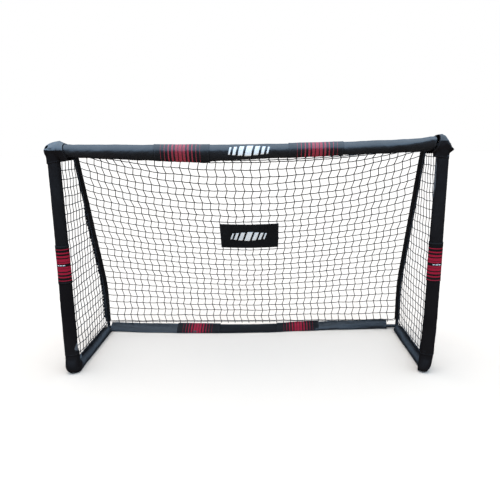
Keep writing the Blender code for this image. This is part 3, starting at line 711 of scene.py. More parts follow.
def make_side_bars(looks):
    for number, (name, side) in enumerate(SIDES):
        seed = 31.0 + 5 * number
        base = Vector((side * POST_X, POST_Y, 0.0))
        _, half_post, post_shift = POST_FIT[name][0]
        half_post -= CLOTH
        sections = []
        for z in spaced(0.150, HEEL_PIVOT[1] + 0.006, 0.008):
            depth = POST_DEPTH - CLOTH
            inner = Vector((0, depth + foot_web(z), z))
            sections.append((inner, Vector((0, -depth, z)), inner.y, depth, 0.0, half_post,
                             0.0008))
        foot_rings = len(sections) + 14
        for i in range(FOOT_STEPS + 1):
            station = foot_station(i / FOOT_STEPS)
            half = half_post + (BAR_HALF - half_post) * station[-1]
            sections.append((*station, half, 0.0014))
        for y in spaced(HEEL_PIVOT[0] + 0.006, REAR_Y - 0.081 - POST_Y, 0.008):
            top = between(SIDE_TOP, y) + 0.002 * noise.noise(Vector((y * 9, seed, 0)))
            sections.append((Vector((0, y, top)), Vector((0, y, 0.0006)), top - 0.0146, 0.0140,
                             1.0, BAR_HALF - 0.002 * ease(y, 0.3, 0.7), 0.0032))

        rings, places, walked, before = [], [], 0.0, None
        for inner, outer, inner_half, outer_half, share, half, size in sections:
            centre = (inner + outer) / 2
            if before is not None:
                walked += (centre - before).length
            before = centre
            line = base + X_AXIS * side * (post_shift * (1 - share) - BAR_SHIFT * share)
            rings.append(sock_ring(side, line, inner, outer, inner_half, outer_half, share,
                                   half, lambda angle: crumple(walked, angle, seed, size)))
            for point in rings[-1]:
                shape_toe(point, name, side)
            places.append(walked)
        piece = loft(f"side_cloth_{name}", rings, places, looks["ground_cloth"], low_hem=False)
        piece.data.materials.append(looks["dull_cloth"])
        for polygon in piece.data.polygons:
            polygon.material_index = 1 if polygon.vertices[0] < foot_rings * AROUND else 0
        declare(piece, f"side_sleeve_{name}", (0.215, places[-1]),
                [f"side_tube_{name}", f"front_elbow_{name}"])


# ---- rear bar -----------------------------------------------------------------------------
# Height of the cloth above the rear tube's axis, and how far its slack lies in front of it.
REAR_TOP = ((-1.15, 0.039), (-1.00, 0.034), (-0.80, 0.028), (-0.57, 0.024), (-0.40, 0.020),
            (-0.20, 0.015), (0.00, 0.015), (0.22, 0.021), (0.40, 0.031), (0.55, 0.038),
            (0.80, 0.044), (1.08, 0.054))
REAR_SKIRT = ((-1.15, 0.064), (-0.80, 0.094), (-0.50, 0.110), (-0.20, 0.112), (0.10, 0.102),
              (0.40, 0.072), (0.70, 0.047), (1.07, 0.028))


def smooth_ring(corners, per_side=4):
    """Closed curve through points, as Catmull-Rom pieces."""
    count = len(corners)
    ring = []
    for i in range(count):
        p0, p1, p2, p3 = (corners[(i + k) % count] for k in (-1, 0, 1, 2))
        for step in range(per_side):
            t = step / per_side
            ring.append([0.5 * (2 * b + (c - a) * t + (2 * a - 5 * b + 4 * c - d) * t * t
                                + (3 * b - a - 3 * c + d) * t ** 3)
                         for a, b, c, d in zip(p0, p1, p2, p3)])
    return ring


def rear_ring(x, lift, seed, size, rise):
    top = between(REAR_TOP, x) + rise
    skirt = between(REAR_SKIRT, x)
    base = -0.0150 - (0.0012 if lift else 0.0)
    knee = 0.5 + 0.12 * noise.noise(Vector((x * 6, seed, 0)))
    corners = [(0.0290, base), (0.0300, 0.002), (0.0245, min(0.020, top * 0.7)),
               (0.010, top - 0.0015), (-0.008, top), (-0.35 * skirt, top * 0.80),
               (-0.64 * skirt, top * knee), (-0.90 * skirt, 0.001), (-skirt, -0.009),
               (-skirt + 0.003, base), (-0.4 * skirt, base)]
    centre = Vector((0, -0.2 * skirt, 0.008))
    ring = []
    for y, z in smooth_ring(corners):
        place = Vector((0, y, z))
        out = (place - centre).normalized()
        free = ease(z, base + 0.002, 0.004)
        folds = crumple(x, math.atan2(out.z, out.y), seed, size) * free
        place += out * (lift * free + folds)
        ring.append(Vector((x, REAR_Y + place.y, REAR_Z + max(place.z, base))))
    return ring


def make_rear_bar(looks):
    for name, low, high, size, rise, pattern in (
            ("left", -1.156, -0.440, 0.0056, 0.0, 0.0), ("centre", -0.416, 0.346, 0.0012, 0.0, 0.0),
            ("right", 0.370, 1.100, 0.0056, 0.0, 0.0),
            ("left", -0.605, -0.258, 0.0010, 0.006, -0.440),
            ("right", 0.206, 0.545, 0.0010, 0.006, 0.380)):
        places = spaced(low, high, STEP)
        lift = 0.0026 if rise else 0.0
        rings = [rear_ring(x, lift + hem_lift(x, (low, high)), 50 + high * 3, size, rise)
                 for x in places]
        if rise:
            piece = loft(f"rear_band_cloth_{name}", rings, places, looks["rear_stripes"],
                         "striped_cloth", pattern)
            declare(piece, f"rear_band_{name}", (0.330, high - low),
                    ["rear_cloth_centre", f"rear_cloth_{name}"])
        else:
            cloth = looks["dull_cloth" if name == "centre" else "ground_cloth"]
            piece = loft(f"rear_cloth_{name}", rings, places, cloth)
            declare(piece, f"rear_sleeve_{name}",
                    (0.280 if name == "right" else 0.320, high - low),
                    [f"rear_tube_{name}"])


# ---- struts -------------------------------------------------------------------------------
def bent(points, bends, steps):
    """Path through points with a round bend at each inner one: (place, tangent) pairs."""
    path = [(points[0], (points[1] - points[0]).normalized())]
    for i, radius in enumerate(bends, start=1):
        before = (points[i] - points[i - 1]).normalized()
        after = (points[i + 1] - points[i]).normalized()
        turn = before.angle(after)
        start = points[i] - before * (radius * math.tan(turn / 2))
        inward = (after - before * before.dot(after)).normalized()
        for k in range(steps + 1):
            angle = turn * k / steps
            place = start + before * (radius * math.sin(angle))
            place = place + inward * (radius * (1 - math.cos(angle)))
            path.append((place, before * math.cos(angle) + inward * math.sin(angle)))
    path.append((points[-1], (points[-1] - points[-2]).normalized()))
    return path


def evenly(path, step):
    """A (place, tangent) path again with points about step apart, and their distances."""
    out, along, walked = [path[0]], [0.0], 0.0
    for (a, at), (b, bt) in zip(path, path[1:]):
        length = (b - a).length
        if length < 1e-6:
            continue
        count = max(1, round(length / step))
        for i in range(1, count + 1):
            share = i / count
            out.append((a.lerp(b, share), at.lerp(bt, share).normalized()))
            along.append(walked + length * share)
        walked += length
    return out, along


def strut_path(x, start, foot_z, steps=10):
    """Path along a strut's axis, from start behind the post down to foot_z."""
    points = [Vector((x, POST_Y + start, CROSSBAR_Z)), Vector((x, STRUT_TOP_Y, CROSSBAR_Z)),
              Vector((x, REAR_Y, STRUT_FOOT_Z)), Vector((x, REAR_Y, foot_z))]
    return bent(points, STRUT_BENDS, steps)


def make_struts(looks):
    for number, (name, side) in enumerate(SIDES):
        path, along = evenly(strut_path(side * POST_X, 0.050, 0.078), 0.009)
        rings = []
        for (place, tangent), s in zip(path, along):
            up = X_AXIS.cross(tangent)
            ring = []
            for angle in angles(28):
                size = 0.0196 + crumple(s, angle, 70 + number, 0.0013)
                size += hem_lift(s, (0.0, along[-1]))
                ring.append(place + X_AXIS * size * math.cos(angle) + up * size * math.sin(angle))
            rings.append(ring)
        piece = loft(f"strut_cloth_{name}", rings, along, looks["upright_cloth"])
        declare(piece, f"strut_sleeve_{name}", (0.125, along[-1]),
                [f"strut_tube_upper_{name}", f"strut_tube_lower_{name}"])


# ---- hems that hold the side nets ------------------------------------------------------------
HEM_START = 0.0140             # a hem begins inside its sleeve, this far from the bar's axis
HEM_COLUMNS = 4
STRUT_SCALLOP = 0.028          # between the places where the edge cord is laced
SIDE_SCALLOP = 0.104
STRUT_HEM_EDGE = 0.0350        # the left strut's hem folds outwards, this far from the axis
SIDE_CORD_Z = 0.0640           # edge cord of a side net above the side bar


def strut_cord(z):
    """Distance of a side net's edge cord from the strut's axis, at a height."""
    return 0.0310 - 0.0085 * ease(z, 0.95, CROSSBAR_Z - 0.030)


def scalloped_hem(name, stations, along, scallop, looks):
    """Narrow strip of webbing in the plane of a side net. stations: (bar's axis, direction to
    the net, where the strip starts, where the edge cord runs), distances from the axis."""
    points, widths = [], []
    for (place, out, start, cord), s in zip(stations, along):
        bite = 0.42 * (1 - abs(math.sin(math.pi * s / scallop)) ** 0.6)
        bite += 0.20 * noise.noise(Vector((s * 30, 5.0, 0)))
        widths.append((cord - start) * (1 - bite))
        wave = X_AXIS * 0.0016 * noise.noise(Vector((s * 14, 0, 8.0)))
        for k in range(HEM_COLUMNS + 1):
            share = k / HEM_COLUMNS
            points.append(place + out * (start + widths[-1] * share) + wave * share)

    def cloth_at(row, column):
        return widths[row] * column / HEM_COLUMNS, along[row]

    def hem_at(row, column):
        return along[row], widths[row] * (1 - column / HEM_COLUMNS)

    faces, uvs = grid(len(stations) - 1, HEM_COLUMNS, {"cloth": cloth_at, "hem": hem_at})
    piece = add_piece(name, points, faces, uvs, looks["dull_cloth"], "sleeve_cloth")
    add_wall(piece, 0.0016, 0.0)
    sum(widths) / len(widths)


def make_hems(looks):
    """Hems on the struts and the side bars."""
    for name, side in SIDES:
        x = side * POST_X
        path, along = evenly(strut_path(x, 0.090, 0.100), 0.006)
        stations = []
        for place, tangent in path:
            to_net, edge = -X_AXIS.cross(tangent), strut_cord(place.z)
            if side < 0:
                fold = ease(CROSSBAR_Z - place.z, 0.25, 0.55)
                to_net = (to_net - X_AXIS * 1.1 * fold).normalized()
                edge += (STRUT_HEM_EDGE - edge) * fold
            stations.append((place, to_net, HEM_START, edge))
        scalloped_hem(f"strut_hem_{name}", stations, along, STRUT_SCALLOP, looks)
        places = spaced(POST_Y + 0.160, REAR_Y - 0.060, 0.006)
        stations = [(Vector((x, y, 0.0)), Z_AXIS, between(SIDE_TOP, y - POST_Y) - 0.006,
                     SIDE_CORD_Z) for y in places]
        scalloped_hem(f"side_hem_{name}", stations, places, SIDE_SCALLOP, looks)


# ---- nets ---------------------------------------------------------------------------------
NET_HALF_WIDTH = POST_X - 0.026
NET_LOW_Z = 0.0660
NET_TUCK = 0.124               # share of the edge that gathers behind the crossbar's middle
NET_TUCK_MIDDLE = 0.036        # and the share of the middle line that it fills there
NET_HOLD_TOP, NET_HOLD_BOTTOM = 2.17, 1.24     # how closely the net follows its edges
NET_LEAN = ((0.050, 1.425), (0.334, 0.942), (0.697, 0.554), (0.815, NET_LOW_Z))
ROW_STEP = 0.0311              # between rows of the back net, as a share of its edge
COLUMNS = 41                   # meshes across the back net
ZIGZAG = 0.11                  # of a mesh, that a knot stands left or right of its column
EDGE = strut_path(0.0, 0.052, NET_LOW_Z, 8)


def path_at(path, fraction):
    lengths = [(b[0] - a[0]).length for a, b in zip(path, path[1:])]
    target = fraction * sum(lengths)
    for (start, _), (end, _), length in zip(path, path[1:], lengths):
        if target <= length:
            return start.lerp(end, target / length)
        target -= length
    return path[-1][0]


def net_middle(share):
    y = z = 0.0
    for power, (lean_y, lean_z) in enumerate(NET_LEAN):
        weight = math.comb(3, power) * share ** power * (1 - share) ** (3 - power)
        y += weight * lean_y
        z += weight * lean_z
    return Vector((0, POST_Y + y, z))


def net_point(across, down):
    """Point of the back net: across runs -1 to 1 over the width, down 0 to 1."""
    if down < NET_TUCK:
        share, hold = NET_TUCK_MIDDLE * down / NET_TUCK, NET_HOLD_TOP
    else:
        below = (down - NET_TUCK) / (1 - NET_TUCK)
        share = NET_TUCK_MIDDLE + (1 - NET_TUCK_MIDDLE) * below
        hold = NET_HOLD_TOP + (NET_HOLD_BOTTOM - NET_HOLD_TOP) * below
    weight = 1 - min(abs(across), 1.0) ** hold
    point = path_at(EDGE, down).lerp(net_middle(share), weight)
    point.x = across * NET_HALF_WIDTH
    return point


KNOT_SIZE, KNOT_END, KNOT_SHOULDER, KNOT_WIDE, KNOT_SIDES = 0.0035, 1.25, 0.7, 0.8, 6


class Strings:
    """Gathers strings and knots into one mesh."""

    def __init__(self):
        self.points, self.faces, self.uv = [], [], []

    def string(self, path, radius, sides=5):
        across = None
        walked = 0.0
        first = len(self.points)
        for number, place in enumerate(path):
            ahead = path[min(number + 1, len(path) - 1)] - path[max(number - 1, 0)]
            if across is None:
                across = ahead.orthogonal()
            across = (across - ahead * (across.dot(ahead) / ahead.length_squared)).normalized()
            up = ahead.normalized().cross(across)
            self.points += circle(place, across, up, radius, sides)
            if number:
                length = (place - path[number - 1]).length
                row = first + number * sides
                low, high = walked, walked + length
                for j in range(sides):
                    k = (j + 1) % sides
                    self.faces.append((row - sides + j, row - sides + k, row + k, row + j))
                    self.uv += [(j / sides, low), ((j + 1) / sides, low),
                                ((j + 1) / sides, high), (j / sides, high)]
                walked += length
        last = len(self.points) - sides
        for ring in (range(first + sides - 1, first - 1, -1), range(last, last + sides)):
            self.faces.append(tuple(ring))
            self.uv += [(0.0, 0.0)] * sides

    def knot(self, place, across, down):
        """Small lump, longer along the row string."""
        across, down = across.normalized(), down.normalized()
        out = across.cross(down).normalized()
        down = out.cross(across)
        first, n = len(self.points), KNOT_SIDES
        for along in (-KNOT_SHOULDER, KNOT_SHOULDER):
            self.points += circle(place + across * KNOT_SIZE * along, down, out,
                                  KNOT_SIZE * KNOT_WIDE, n)
        self.points += [place - across * KNOT_SIZE * KNOT_END,
                        place + across * KNOT_SIZE * KNOT_END]
        for j in range(n):
            k = (j + 1) % n
            self.faces += [(first + j, first + n + j, first + n + k, first + k),
                           (first + 2 * n, first + j, first + k),
                           (first + 2 * n + 1, first + n + k, first + n + j)]
            self.uv += [(0.0, 0.0)] * 10

    def piece(self, name, looks):
        made = add_piece(name, self.points, self.faces, {"cloth": self.uv}, looks["string"],
                         "net_string")
        mesh = bmesh.new()
        mesh.from_mesh(made.data)
        bmesh.ops.recalc_face_normals(mesh, faces=mesh.faces[:])
        mesh.to_mesh(made.data)
        mesh.free()
        return made


def sagging(start, end, sag, parts=4):
    """String between two knots, a little slack."""
    return [start.lerp(end, i / parts) - Z_AXIS * sag * 4 * (i / parts) * (1 - i / parts)
            for i in range(parts)]


def make_back_net(looks):
    draw = random.Random(5)
    rows = list(range(-3, 29))
    knots = {}
    for i in rows:
        down = 4 * ROW_STEP - 0.0005 + ROW_STEP * i
        for j in range(COLUMNS + 1):
            stray = ZIGZAG * (-1) ** i + noise.noise(Vector((j * 0.23, i * 0.31, 3.0))) * 0.20
            across = -1 + 2 * (j + (stray if 0 < j < COLUMNS else 0)) / COLUMNS
            slip = noise.noise(Vector((j * 0.35, i * 0.50, 9.0))) * 0.0035
            slip += draw.uniform(-0.0008, 0.0008)
            knots[i, j] = net_point(across, min(max(down + slip, 0.0), 1.0))
    net = Strings()
    for i in rows:
        path = [knots[i, 0] - X_AXIS * 0.009]
        for j in range(COLUMNS):
            path += sagging(knots[i, j], knots[i, j + 1], 0.0016 + draw.uniform(0, 0.0016))
        path += [knots[i, COLUMNS], knots[i, COLUMNS] + X_AXIS * 0.009]
        net.string(path, BACK_STRING_R)
    for j in range(1, COLUMNS):
        path = [net_point(-1 + 2 * j / COLUMNS, 0.0)] + [knots[i, j] for i in rows]
        path.append(net_point(-1 + 2 * (j + ZIGZAG) / COLUMNS, 1.0) - Z_AXIS * 0.012)
        fine = []
        for a, b in zip(path, path[1:]):
            fine += sagging(a, b, 0.0, 2)
        net.string(fine + [path[-1]], BACK_STRING_R)
    for i in rows:
        for j in range(1, COLUMNS):
            across = knots[i, j + 1] - knots[i, j - 1]
            net.knot(knots[i, j], across, Vector((0, across.z + 0.4, -1)))
    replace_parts(net.piece("back_net_strings", looks), "net_back")

    rope = Strings()
    for side in (-1, 1):
        rope.string([net_point(side * 1.007, k / 60) for k in range(61)], CORD_R, 7)
    for down in (0.0, 1.0):
        rope.string([net_point(-1 + 2 * k / 120, down) for k in range(121)], CORD_R, 7)
    rope.piece("back_net_edge_cord", looks)


def clip(polygon, axis, value):
    """Lowest and highest crossing of a convex YZ polygon with a line of constant y or z."""
    other = 3 - axis
    hits = []
    for a, b in zip(polygon, polygon[1:] + polygon[:1]):
        if (a[axis] - value) * (b[axis] - value) < 0:
            share = (value - a[axis]) / (b[axis] - a[axis])
            hits.append(a[other] + (b[other] - a[other]) * share)
    return (min(hits), max(hits)) if len(hits) > 1 else None


def make_side_nets(looks):
    front = POST_Y + 0.044
    swing = 0.10 * MESH
    bars, _ = evenly(strut_path(0.0, 0.044, SIDE_CORD_Z, 8), 0.08)
    outline = [p - X_AXIS.cross(tangent) * strut_cord(p.z) for p, tangent in bars]
    outline += [Vector((0, POST_Y + 0.100, SIDE_CORD_Z)), Vector((0, front, 0.1300))]
    for number, (name, side) in enumerate(SIDES):
        x = side * POST_X

        def place(y, z):
            drift = noise.noise(Vector((y * 2.5, z * 2.5, 20.0 + number)))
            inside = min(1.0, abs(y - front) * 8)
            slip_y = 0.007 * noise.noise(Vector((y * 9, z * 9, 40.0 + number)))
            slip_z = 0.007 * noise.noise(Vector((y * 9, z * 9, 60.0 + number)))
            return Vector((x + drift * 0.014 * inside, y + slip_y * inside,
                           z + slip_z * inside))

        net = Strings()
        row_z = [SIDE_CORD_Z + MESH * (k + 0.45) for k in range(25)]
        for z in row_z:
            ends = clip(outline, 2, z)
            if ends is None:
                continue
            low, length = ends[0], ends[1] - ends[0]
            count = max(3, round(length / 0.014))
            shares = [i / count for i in range(count + 1)]
            net.string([place(low + length * s, z - 0.040 * length * s * (1 - s))
                        for s in shares], SIDE_STRING_R[name])
        for y in (front + MESH * (k + 0.55) for k in range(15)):
            ends = clip(outline, 1, y)
            if ends is None:
                continue
            levels = [ends[0]] + [z for z in row_z if ends[0] < z < ends[1]] + [ends[1]]
            path = []
            for i, (a, b) in enumerate(zip(levels, levels[1:])):
                for s in (0.0, 1 / 3, 2 / 3):
                    path.append(place(y + swing * (-1) ** i * (1 - 2 * s), a + (b - a) * s))
            net.string(path + [place(y, ends[1])], SIDE_STRING_R[name])
            for i, z in enumerate(levels[1:-1], start=1):
                net.knot(place(y + swing * (-1) ** i, z), Y_AXIS, -Z_AXIS)
        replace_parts(net.piece(f"side_net_strings_{name}", looks), f"net_side_{name}")
        rope = Strings()
        around = [Vector((x, p.y, p.z)) for p in outline]
        path, _ = evenly([(p, (q - p).normalized()) for p, q in
                          zip(around, around[1:] + around[:1])] + [(around[0], Z_AXIS)], 0.03)
        rope.string([p for p, _ in path], CORD_R, 7)
        rope.piece(f"side_net_edge_cord_{name}", looks)


# ---- badge and emblems --------------------------------------------------------------------
# Slanted bars, widest in the middle: width of each, and the gap between them, as shares.
BARS = (0.30, 0.50, 0.75, 1.0, 0.75, 0.50, 0.30)
BAR_GAP = 0.38
BADGE_LEFT, BADGE_RIGHT = -0.205, 0.210
BADGE_TOP, BADGE_LOW = 0.414, 0.547
BADGE_WIDE, BADGE_TALL = 0.417, 0.232
BADGE_COLUMNS, BADGE_ROWS = 44, 20
LABEL_DASHES = ((-0.022, -0.010), (-0.007, 0.007), (0.010, 0.022))


def printed(name, patches, looks):
    """Thin pale print. patches: rows of points of each."""
    points, faces = [], []
    for rows in patches:
        first = len(points)
        made, _ = grid(len(rows) - 1, len(rows[0]) - 1)
        faces += [[first + corner for corner in face] for face in made]
        points += [point for row in rows for point in row]
    piece = add_piece(name, points, faces, {"cloth": [(0.0, 0.0)] * (4 * len(faces))},
                      looks["print"], "badge_cloth")
    add_wall(piece, 0.0004, 1.0)
    return piece


def emblem(name, surface, centre, width, height, looks):
    """Row of slanted bars printed on a surface. surface(u, v) gives a place from metres across
    and up, on the printed side."""
    unit = width / (sum(BARS) + BAR_GAP * (len(BARS) - 1) + 0.6)
    lean = 0.30 * height
    patches = []
    left = centre[0] - (width - 0.3 * unit) / 2
    for share in BARS:
        wide, tall = unit * share, height * (0.55 + 0.45 * share)
        across, up = max(2, round(wide / 0.006)), max(2, round(tall / 0.006))
        levels = [centre[1] - tall / 2 + tall * i / up for i in range(up + 1)]
        patches.append([[surface(left + wide * k / across + lean * (v - centre[1]) / height, v)
                         for k in range(across + 1)] for v in levels])
        left += unit * (share + BAR_GAP)
    return printed(name, patches, looks)


def badge_point(u, v, lift):
    """Point in front of the badge's cloth: u, v run 0 to 1 across and down."""
    across = (BADGE_LEFT + (BADGE_RIGHT - BADGE_LEFT) * u) / NET_HALF_WIDTH
    down = BADGE_TOP + (BADGE_LOW - BADGE_TOP) * v
    step = 0.02
    side = net_point(across + step, down) - net_point(across - step, down)
    fall = net_point(across, down + step) - net_point(across, down - step)
    front = fall.cross(side).normalized()
    pucker = 0.0016 * noise.noise(Vector((u * 5, v * 3, 7.0)))
    return net_point(across, down) + front * (lift + pucker)


def make_badge(looks):
    def place(row, column):
        return column / BADGE_COLUMNS * BADGE_WIDE, row / BADGE_ROWS * BADGE_TALL

    def edge(u, v):
        return min(u, BADGE_WIDE - u, v, BADGE_TALL - v)

    def hem_at(row, column):
        u, v = place(row, column)
        return u + v, edge(u, v)

    points = []
    for i in range(BADGE_ROWS + 1):
        for k in range(BADGE_COLUMNS + 1):
            lift = 0.0042 + 0.0006 * (1 - ease(edge(*place(i, k)), HEM, HEM + 0.003))
            points.append(badge_point(k / BADGE_COLUMNS, i / BADGE_ROWS, lift))
    faces, uvs = grid(BADGE_ROWS, BADGE_COLUMNS, {"cloth": place, "hem": hem_at},
                      order=(0, 3, 2, 1))
    badge = add_piece("badge_cloth", points, faces, uvs, looks["badge"], "badge_cloth")
    add_wall(badge, 0.0012)
    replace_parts(badge, "net_badge")

    def surface(u, v):
        return badge_point(u / BADGE_WIDE, 1 - v / BADGE_TALL, 0.0045)

    bars = emblem("badge_emblem", surface, (BADGE_WIDE / 2, BADGE_TALL / 2), 0.27, 0.0855, looks)

    def beam_surface(u, v):
        return beam_point(u, math.pi - v / BEAM_R, 0.0021)

    emblem("beam_emblem", beam_surface, (0.026, 0.004), 0.265, 0.054, looks)


def make_post_labels(looks):
    """Plain pale dashes in the black gap of each post's stripes."""
    for name, side in SIDES:
        def surface(u, v):
            angle = math.pi * 1.5 + side * u / 0.041
            return post_point(name, side, POST_LABEL_Z[name] + v, angle, 0.0062)

        printed(f"post_label_{name}",
                [[[surface(low + (high - low) * k / 3, v) for k in range(4)]
                  for v in (-0.0022, 0.0022)] for low, high in LABEL_DASHES], looks)


# ---- corner caps --------------------------------------------------------------------------
# Height of a cap's top above the crossbar's axis, at distances past the post's axis.
CAP_TOP = {
    "left": ((-0.105, 0.037), (-0.090, 0.041), (-0.076, 0.048), (-0.060, 0.056),
             (-0.047, 0.062), (-0.030, 0.058), (0.0, 0.050), (0.016, 0.043), (0.032, 0.034),
             (0.046, 0.026)),
    "right": ((-0.092, 0.050), (-0.062, 0.062), (-0.030, 0.068), (-0.008, 0.068),
              (0.012, 0.058), (0.026, 0.036), (0.046, 0.006)),
}
CAP_ARM_R, CAP_POST_R, CAP_STRUT_R = 0.0440, 0.0435, 0.0235
CAP_VOXEL = 0.0035
CAP_END = {"left": 0.038, "right": 0.044}      # how far a cap reaches past the post's axis
# Where a cap's mouth crosses the crossbar, and the way the mouth faces (outwards, back, up).
CAP_MOUTH = {"left": (0.097, (-1.0, -0.35, 0.25)), "right": (0.067, (-1.0, -0.50, 0.45))}
CAP_LIT_LINE = {"left": 0.003, "right": 0.029}     # height above the crossbar's axis of the line between the shiny lit copy of the cloth on the cap's top and the dull shaded copy below it
MOUTH_SHADE_WIDTH = 0.005                # width of a dull band round the mouth, painted shade where the cap stands off the crossbar's cloth
EYE_AT, EYE_FACES = Vector((-0.022, -0.030, 0.021)), Vector((-0.60, -0.60, 0.50))
EYE_WIDE, EYE_TALL = 0.0105, 0.0140            # half sizes of the left cap's round opening


def stump(mesh, start, end, radius):
    """Closed round bar added to a mesh."""
    along = (end - start).normalized()
    side = Y_AXIS if abs(along.x) > 0.9 or abs(along.z) > 0.9 else X_AXIS
    loops = [[mesh.verts.new(p) for p in circle(place, side, along.cross(side), radius, 40)]
             for place in (start, end)]
    skin(mesh, *loops)
    for loop in loops:
        mesh.faces.new(loop)


def bell(value, centre, width):
    return math.exp(-((value - centre) / width) ** 2)


def shape_cap(name, across, out, up):
    """Offset of a cap's cloth: outwards, backwards, up. The left end bulges, and a flange
    hangs under the crossbar. The right end is a flat flap that hangs out past the post."""
    if name == "left":
        push = 0.0030 * ease(out, 0.014, 0.036) * bell(up, -0.004, 0.020)
        return push, 0.0, -0.0210 * ease(-out, 0.030, 0.055) * ease(-up, 0.010, 0.040)
    end = ease(out, 0.018, 0.044)
    push = 0.0200 * end * bell(up, -0.024, 0.014)
    push -= 0.0100 * ease(-out, 0.020, 0.040) * bell(up, -0.055, 0.016)
    return push, -0.35 * end * across, 0.0


def bisect(mesh, place, normal, geometry=None, remove=False):
    geometry = geometry or mesh.verts[:] + mesh.edges[:] + mesh.faces[:]
    bmesh.ops.bisect_plane(mesh, geom=geometry, plane_co=place, plane_no=normal,
                           clear_outer=remove)


def cut_hole(mesh, place, out, wide, tall):
    """Clean oval hole through the cloth on the side that out points to."""
    out = out.normalized()
    side = out.cross(Z_AXIS).normalized()
    rise = side.cross(out)

    def near(face):
        away = face.calc_center_median() - place
        return abs(away.dot(out)) < 0.020 and away.length < 0.030

    for angle in angles(12):
        rim = side * wide * math.cos(angle) + rise * tall * math.sin(angle)
        faces = [face for face in mesh.faces if near(face)]
        edges = {edge for face in faces for edge in face.edges}
        verts = {vert for face in faces for vert in face.verts}
        bisect(mesh, place + rim, side * math.cos(angle) / wide + rise * math.sin(angle) / tall,
               [*verts, *edges, *faces])
    inside = []
    for face in mesh.faces:
        away = face.calc_center_median() - place
        u, v = away.dot(side) / wide, away.dot(rise) / tall
        if near(face) and u * u + v * v < 0.97:
            inside.append(face)
    bmesh.ops.delete(mesh, geom=inside, context="FACES")


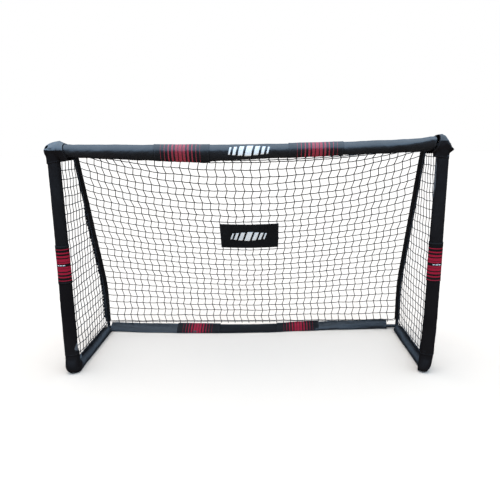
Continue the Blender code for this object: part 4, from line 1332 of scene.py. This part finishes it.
def make_cap(name, side, looks):
    x = side * POST_X
    centre = Vector((x, POST_Y, CROSSBAR_Z))
    outward = X_AXIS * side
    mesh = bmesh.new()
    stump(mesh, centre - outward * 0.130 - Z_AXIS * 0.004, centre + outward * CAP_END[name],
          CAP_ARM_R)
    stump(mesh, centre + Z_AXIS * 0.02, centre - Z_AXIS * 0.096, CAP_POST_R)
    stump(mesh, centre, centre + Y_AXIS * 0.110, CAP_STRUT_R)
    cap = add_closed(f"corner_cap_cloth_{name}", mesh)
    remesh = cap.modifiers.new("remesh", "REMESH")
    remesh.mode, remesh.voxel_size = "VOXEL", CAP_VOXEL
    soften = cap.modifiers.new("soften", "SMOOTH")
    soften.factor, soften.iterations = 0.6, 12
    apply_modifiers(cap)

    mesh = bmesh.new()
    mesh.from_mesh(cap.data)
    seed = 80.0 + 6 * side
    for vertex in mesh.verts:
        p = vertex.co
        out, up = (p.x - x) * side, p.z - CROSSBAR_Z
        push, back, rise = shape_cap(name, p.y - POST_Y, out, up)
        if p.y < POST_Y + 0.05:
            rise += (linear(CAP_TOP[name], out) - CAP_ARM_R) * min(max(up / CAP_ARM_R, 0.0), 1.0)
        fold = 1 - 2.4 * abs(noise.noise(Vector((p.x * 22, p.y * 22 + seed, p.z * 26))))
        soft = noise.noise(Vector((p.x * 12 + seed, p.y * 12, p.z * 12)))
        calm = 1 - 0.7 * ease(-up, 0.0, 0.040)
        crease = calm * (0.0020 * max(fold, 0.0) ** 2 + 0.0022 * soft)
        vertex.co += Vector((side * push, back, rise)) + vertex.normal * crease
    # open the cloth where the crossbar, the post and the strut go in
    mouth, facing = CAP_MOUTH[name]
    facing = Vector((side * facing[0], facing[1], facing[2])).normalized()
    cuts = ((centre - outward * mouth, facing),
            (centre - Z_AXIS * 0.074, -Z_AXIS - outward * 0.16),
            (centre + Y_AXIS * 0.086, Y_AXIS))
    # painted light: above this line the cap takes the shiny lit copy of the cloth, below it the
    # dull shaded copy
    lit_line = (centre + Z_AXIS * CAP_LIT_LINE[name], Z_AXIS)
    # painted shade: a band of the dull cloth round the mouth stands for the contact shadow there
    mouth_shade = (centre - outward * mouth - facing * MOUTH_SHADE_WIDTH, facing)
    for plane in (*cuts, lit_line, mouth_shade):
        bisect(mesh, *plane, remove=plane in cuts)
    if name == "left":
        cut_hole(mesh, centre + EYE_AT, EYE_FACES, EYE_WIDE, EYE_TALL)
    layers = [mesh.loops.layers.uv.new(key) for key in ("cloth", "hem")]
    for face in mesh.faces:
        at = face.calc_center_median()
        # painted light: faces below the lit line and in the band round the mouth take the dull
        # shaded copy, the rest take the shiny lit copy
        dull = (at - lit_line[0]).dot(lit_line[1]) < 0 or (at - mouth_shade[0]).dot(mouth_shade[1]) > 0
        face.material_index = int(dull)
        for loop in face.loops:
            p = loop.vert.co
            edge = min(abs((p - place).dot(normal.normalized())) for place, normal in cuts)
            if at.z < CROSSBAR_Z - 0.025:
                around = (math.atan2(p.x - x, POST_Y - p.y) * CAP_ARM_R, p.z)
            else:
                around = (math.atan2(p.y - POST_Y, p.z - CROSSBAR_Z) * CAP_ARM_R, p.x)
            loop[layers[0]].uv, loop[layers[1]].uv = around, (p.x + p.y + p.z, edge)
    # the materials come before the faces, which keep their indices only then
    cap.data.materials.clear()
    cap.data.materials.append(looks["cap_cloth" if name == "left" else "ground_cloth"])
    cap.data.materials.append(looks["dull_cloth"])
    mesh.to_mesh(cap.data)
    mesh.free()
    cap.data.shade_smooth()
    add_wall(cap, 0.0016)
    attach(cap, BODY)
    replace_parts(cap, f"corner_cap_{name}")


# ---- whole scene --------------------------------------------------------------------------
def dress_metal(looks):
    for name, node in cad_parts.items():
        material = None
        if name.startswith("snap_button"):
            material = looks["button"]
        elif "_tube_" in name or name.startswith(("top_corner", "front_elbow", "rear_corner")):
            material = looks["steel"]
        if material:
            node.data.materials.clear()
            node.data.materials.append(material)


make_camera()
make_light()
make_floor()
looks = {
    # lit and shaded copies of one black cloth: the same colour, with a specular level (and on the
    # left cap's top an IOR) set by how the sky light falls. Shiny lit copies go on the crossbar and
    # the left cap's top. Duller shaded copies go on the bars near the ground, the uprights and the
    # dull undersides. The striped cloth is split the same way, shiny on the crossbar and dull on
    # the posts and the rear bar.
    "cloth": make_cloth("oxford_cloth", 0.9),
    "cap_cloth": make_cloth("cap_cloth", 0.9, 1.65),
    "ground_cloth": make_cloth("ground_cloth", 0.55),
    "upright_cloth": make_cloth("upright_cloth", 0.22),
    "dull_cloth": make_cloth("dull_shaded_cloth", 0.05),
    "beam_stripes": make_striped("striped_beam", 0.7, 0.128, 0.0240, 0.0015, 0.0215, 1.6),
    "rear_stripes": make_striped("striped_rear", 0.08, 0.122, 0.0235, 0.0015, 0.0215, 1.6),
    "post_stripes": make_striped("striped_post", 0.08, 0.110, 0.0230, 0.0035, 0.0228, 1.3,
                                 0.010),
    "foam": make_foam(),
    "steel": make_steel(),
    "button": make_button_steel(),
    "string": make_string(),
    "print": make_print(),
    "badge": make_badge_cloth(),
}
for make in (dress_metal, make_beam, make_posts, make_side_bars, make_rear_bar, make_struts,
             make_hems):
    make(looks)
for cap_name, cap_side in SIDES:
    make_cap(cap_name, cap_side, looks)
for make in (make_back_net, make_side_nets, make_badge, make_post_labels):
    make(looks)
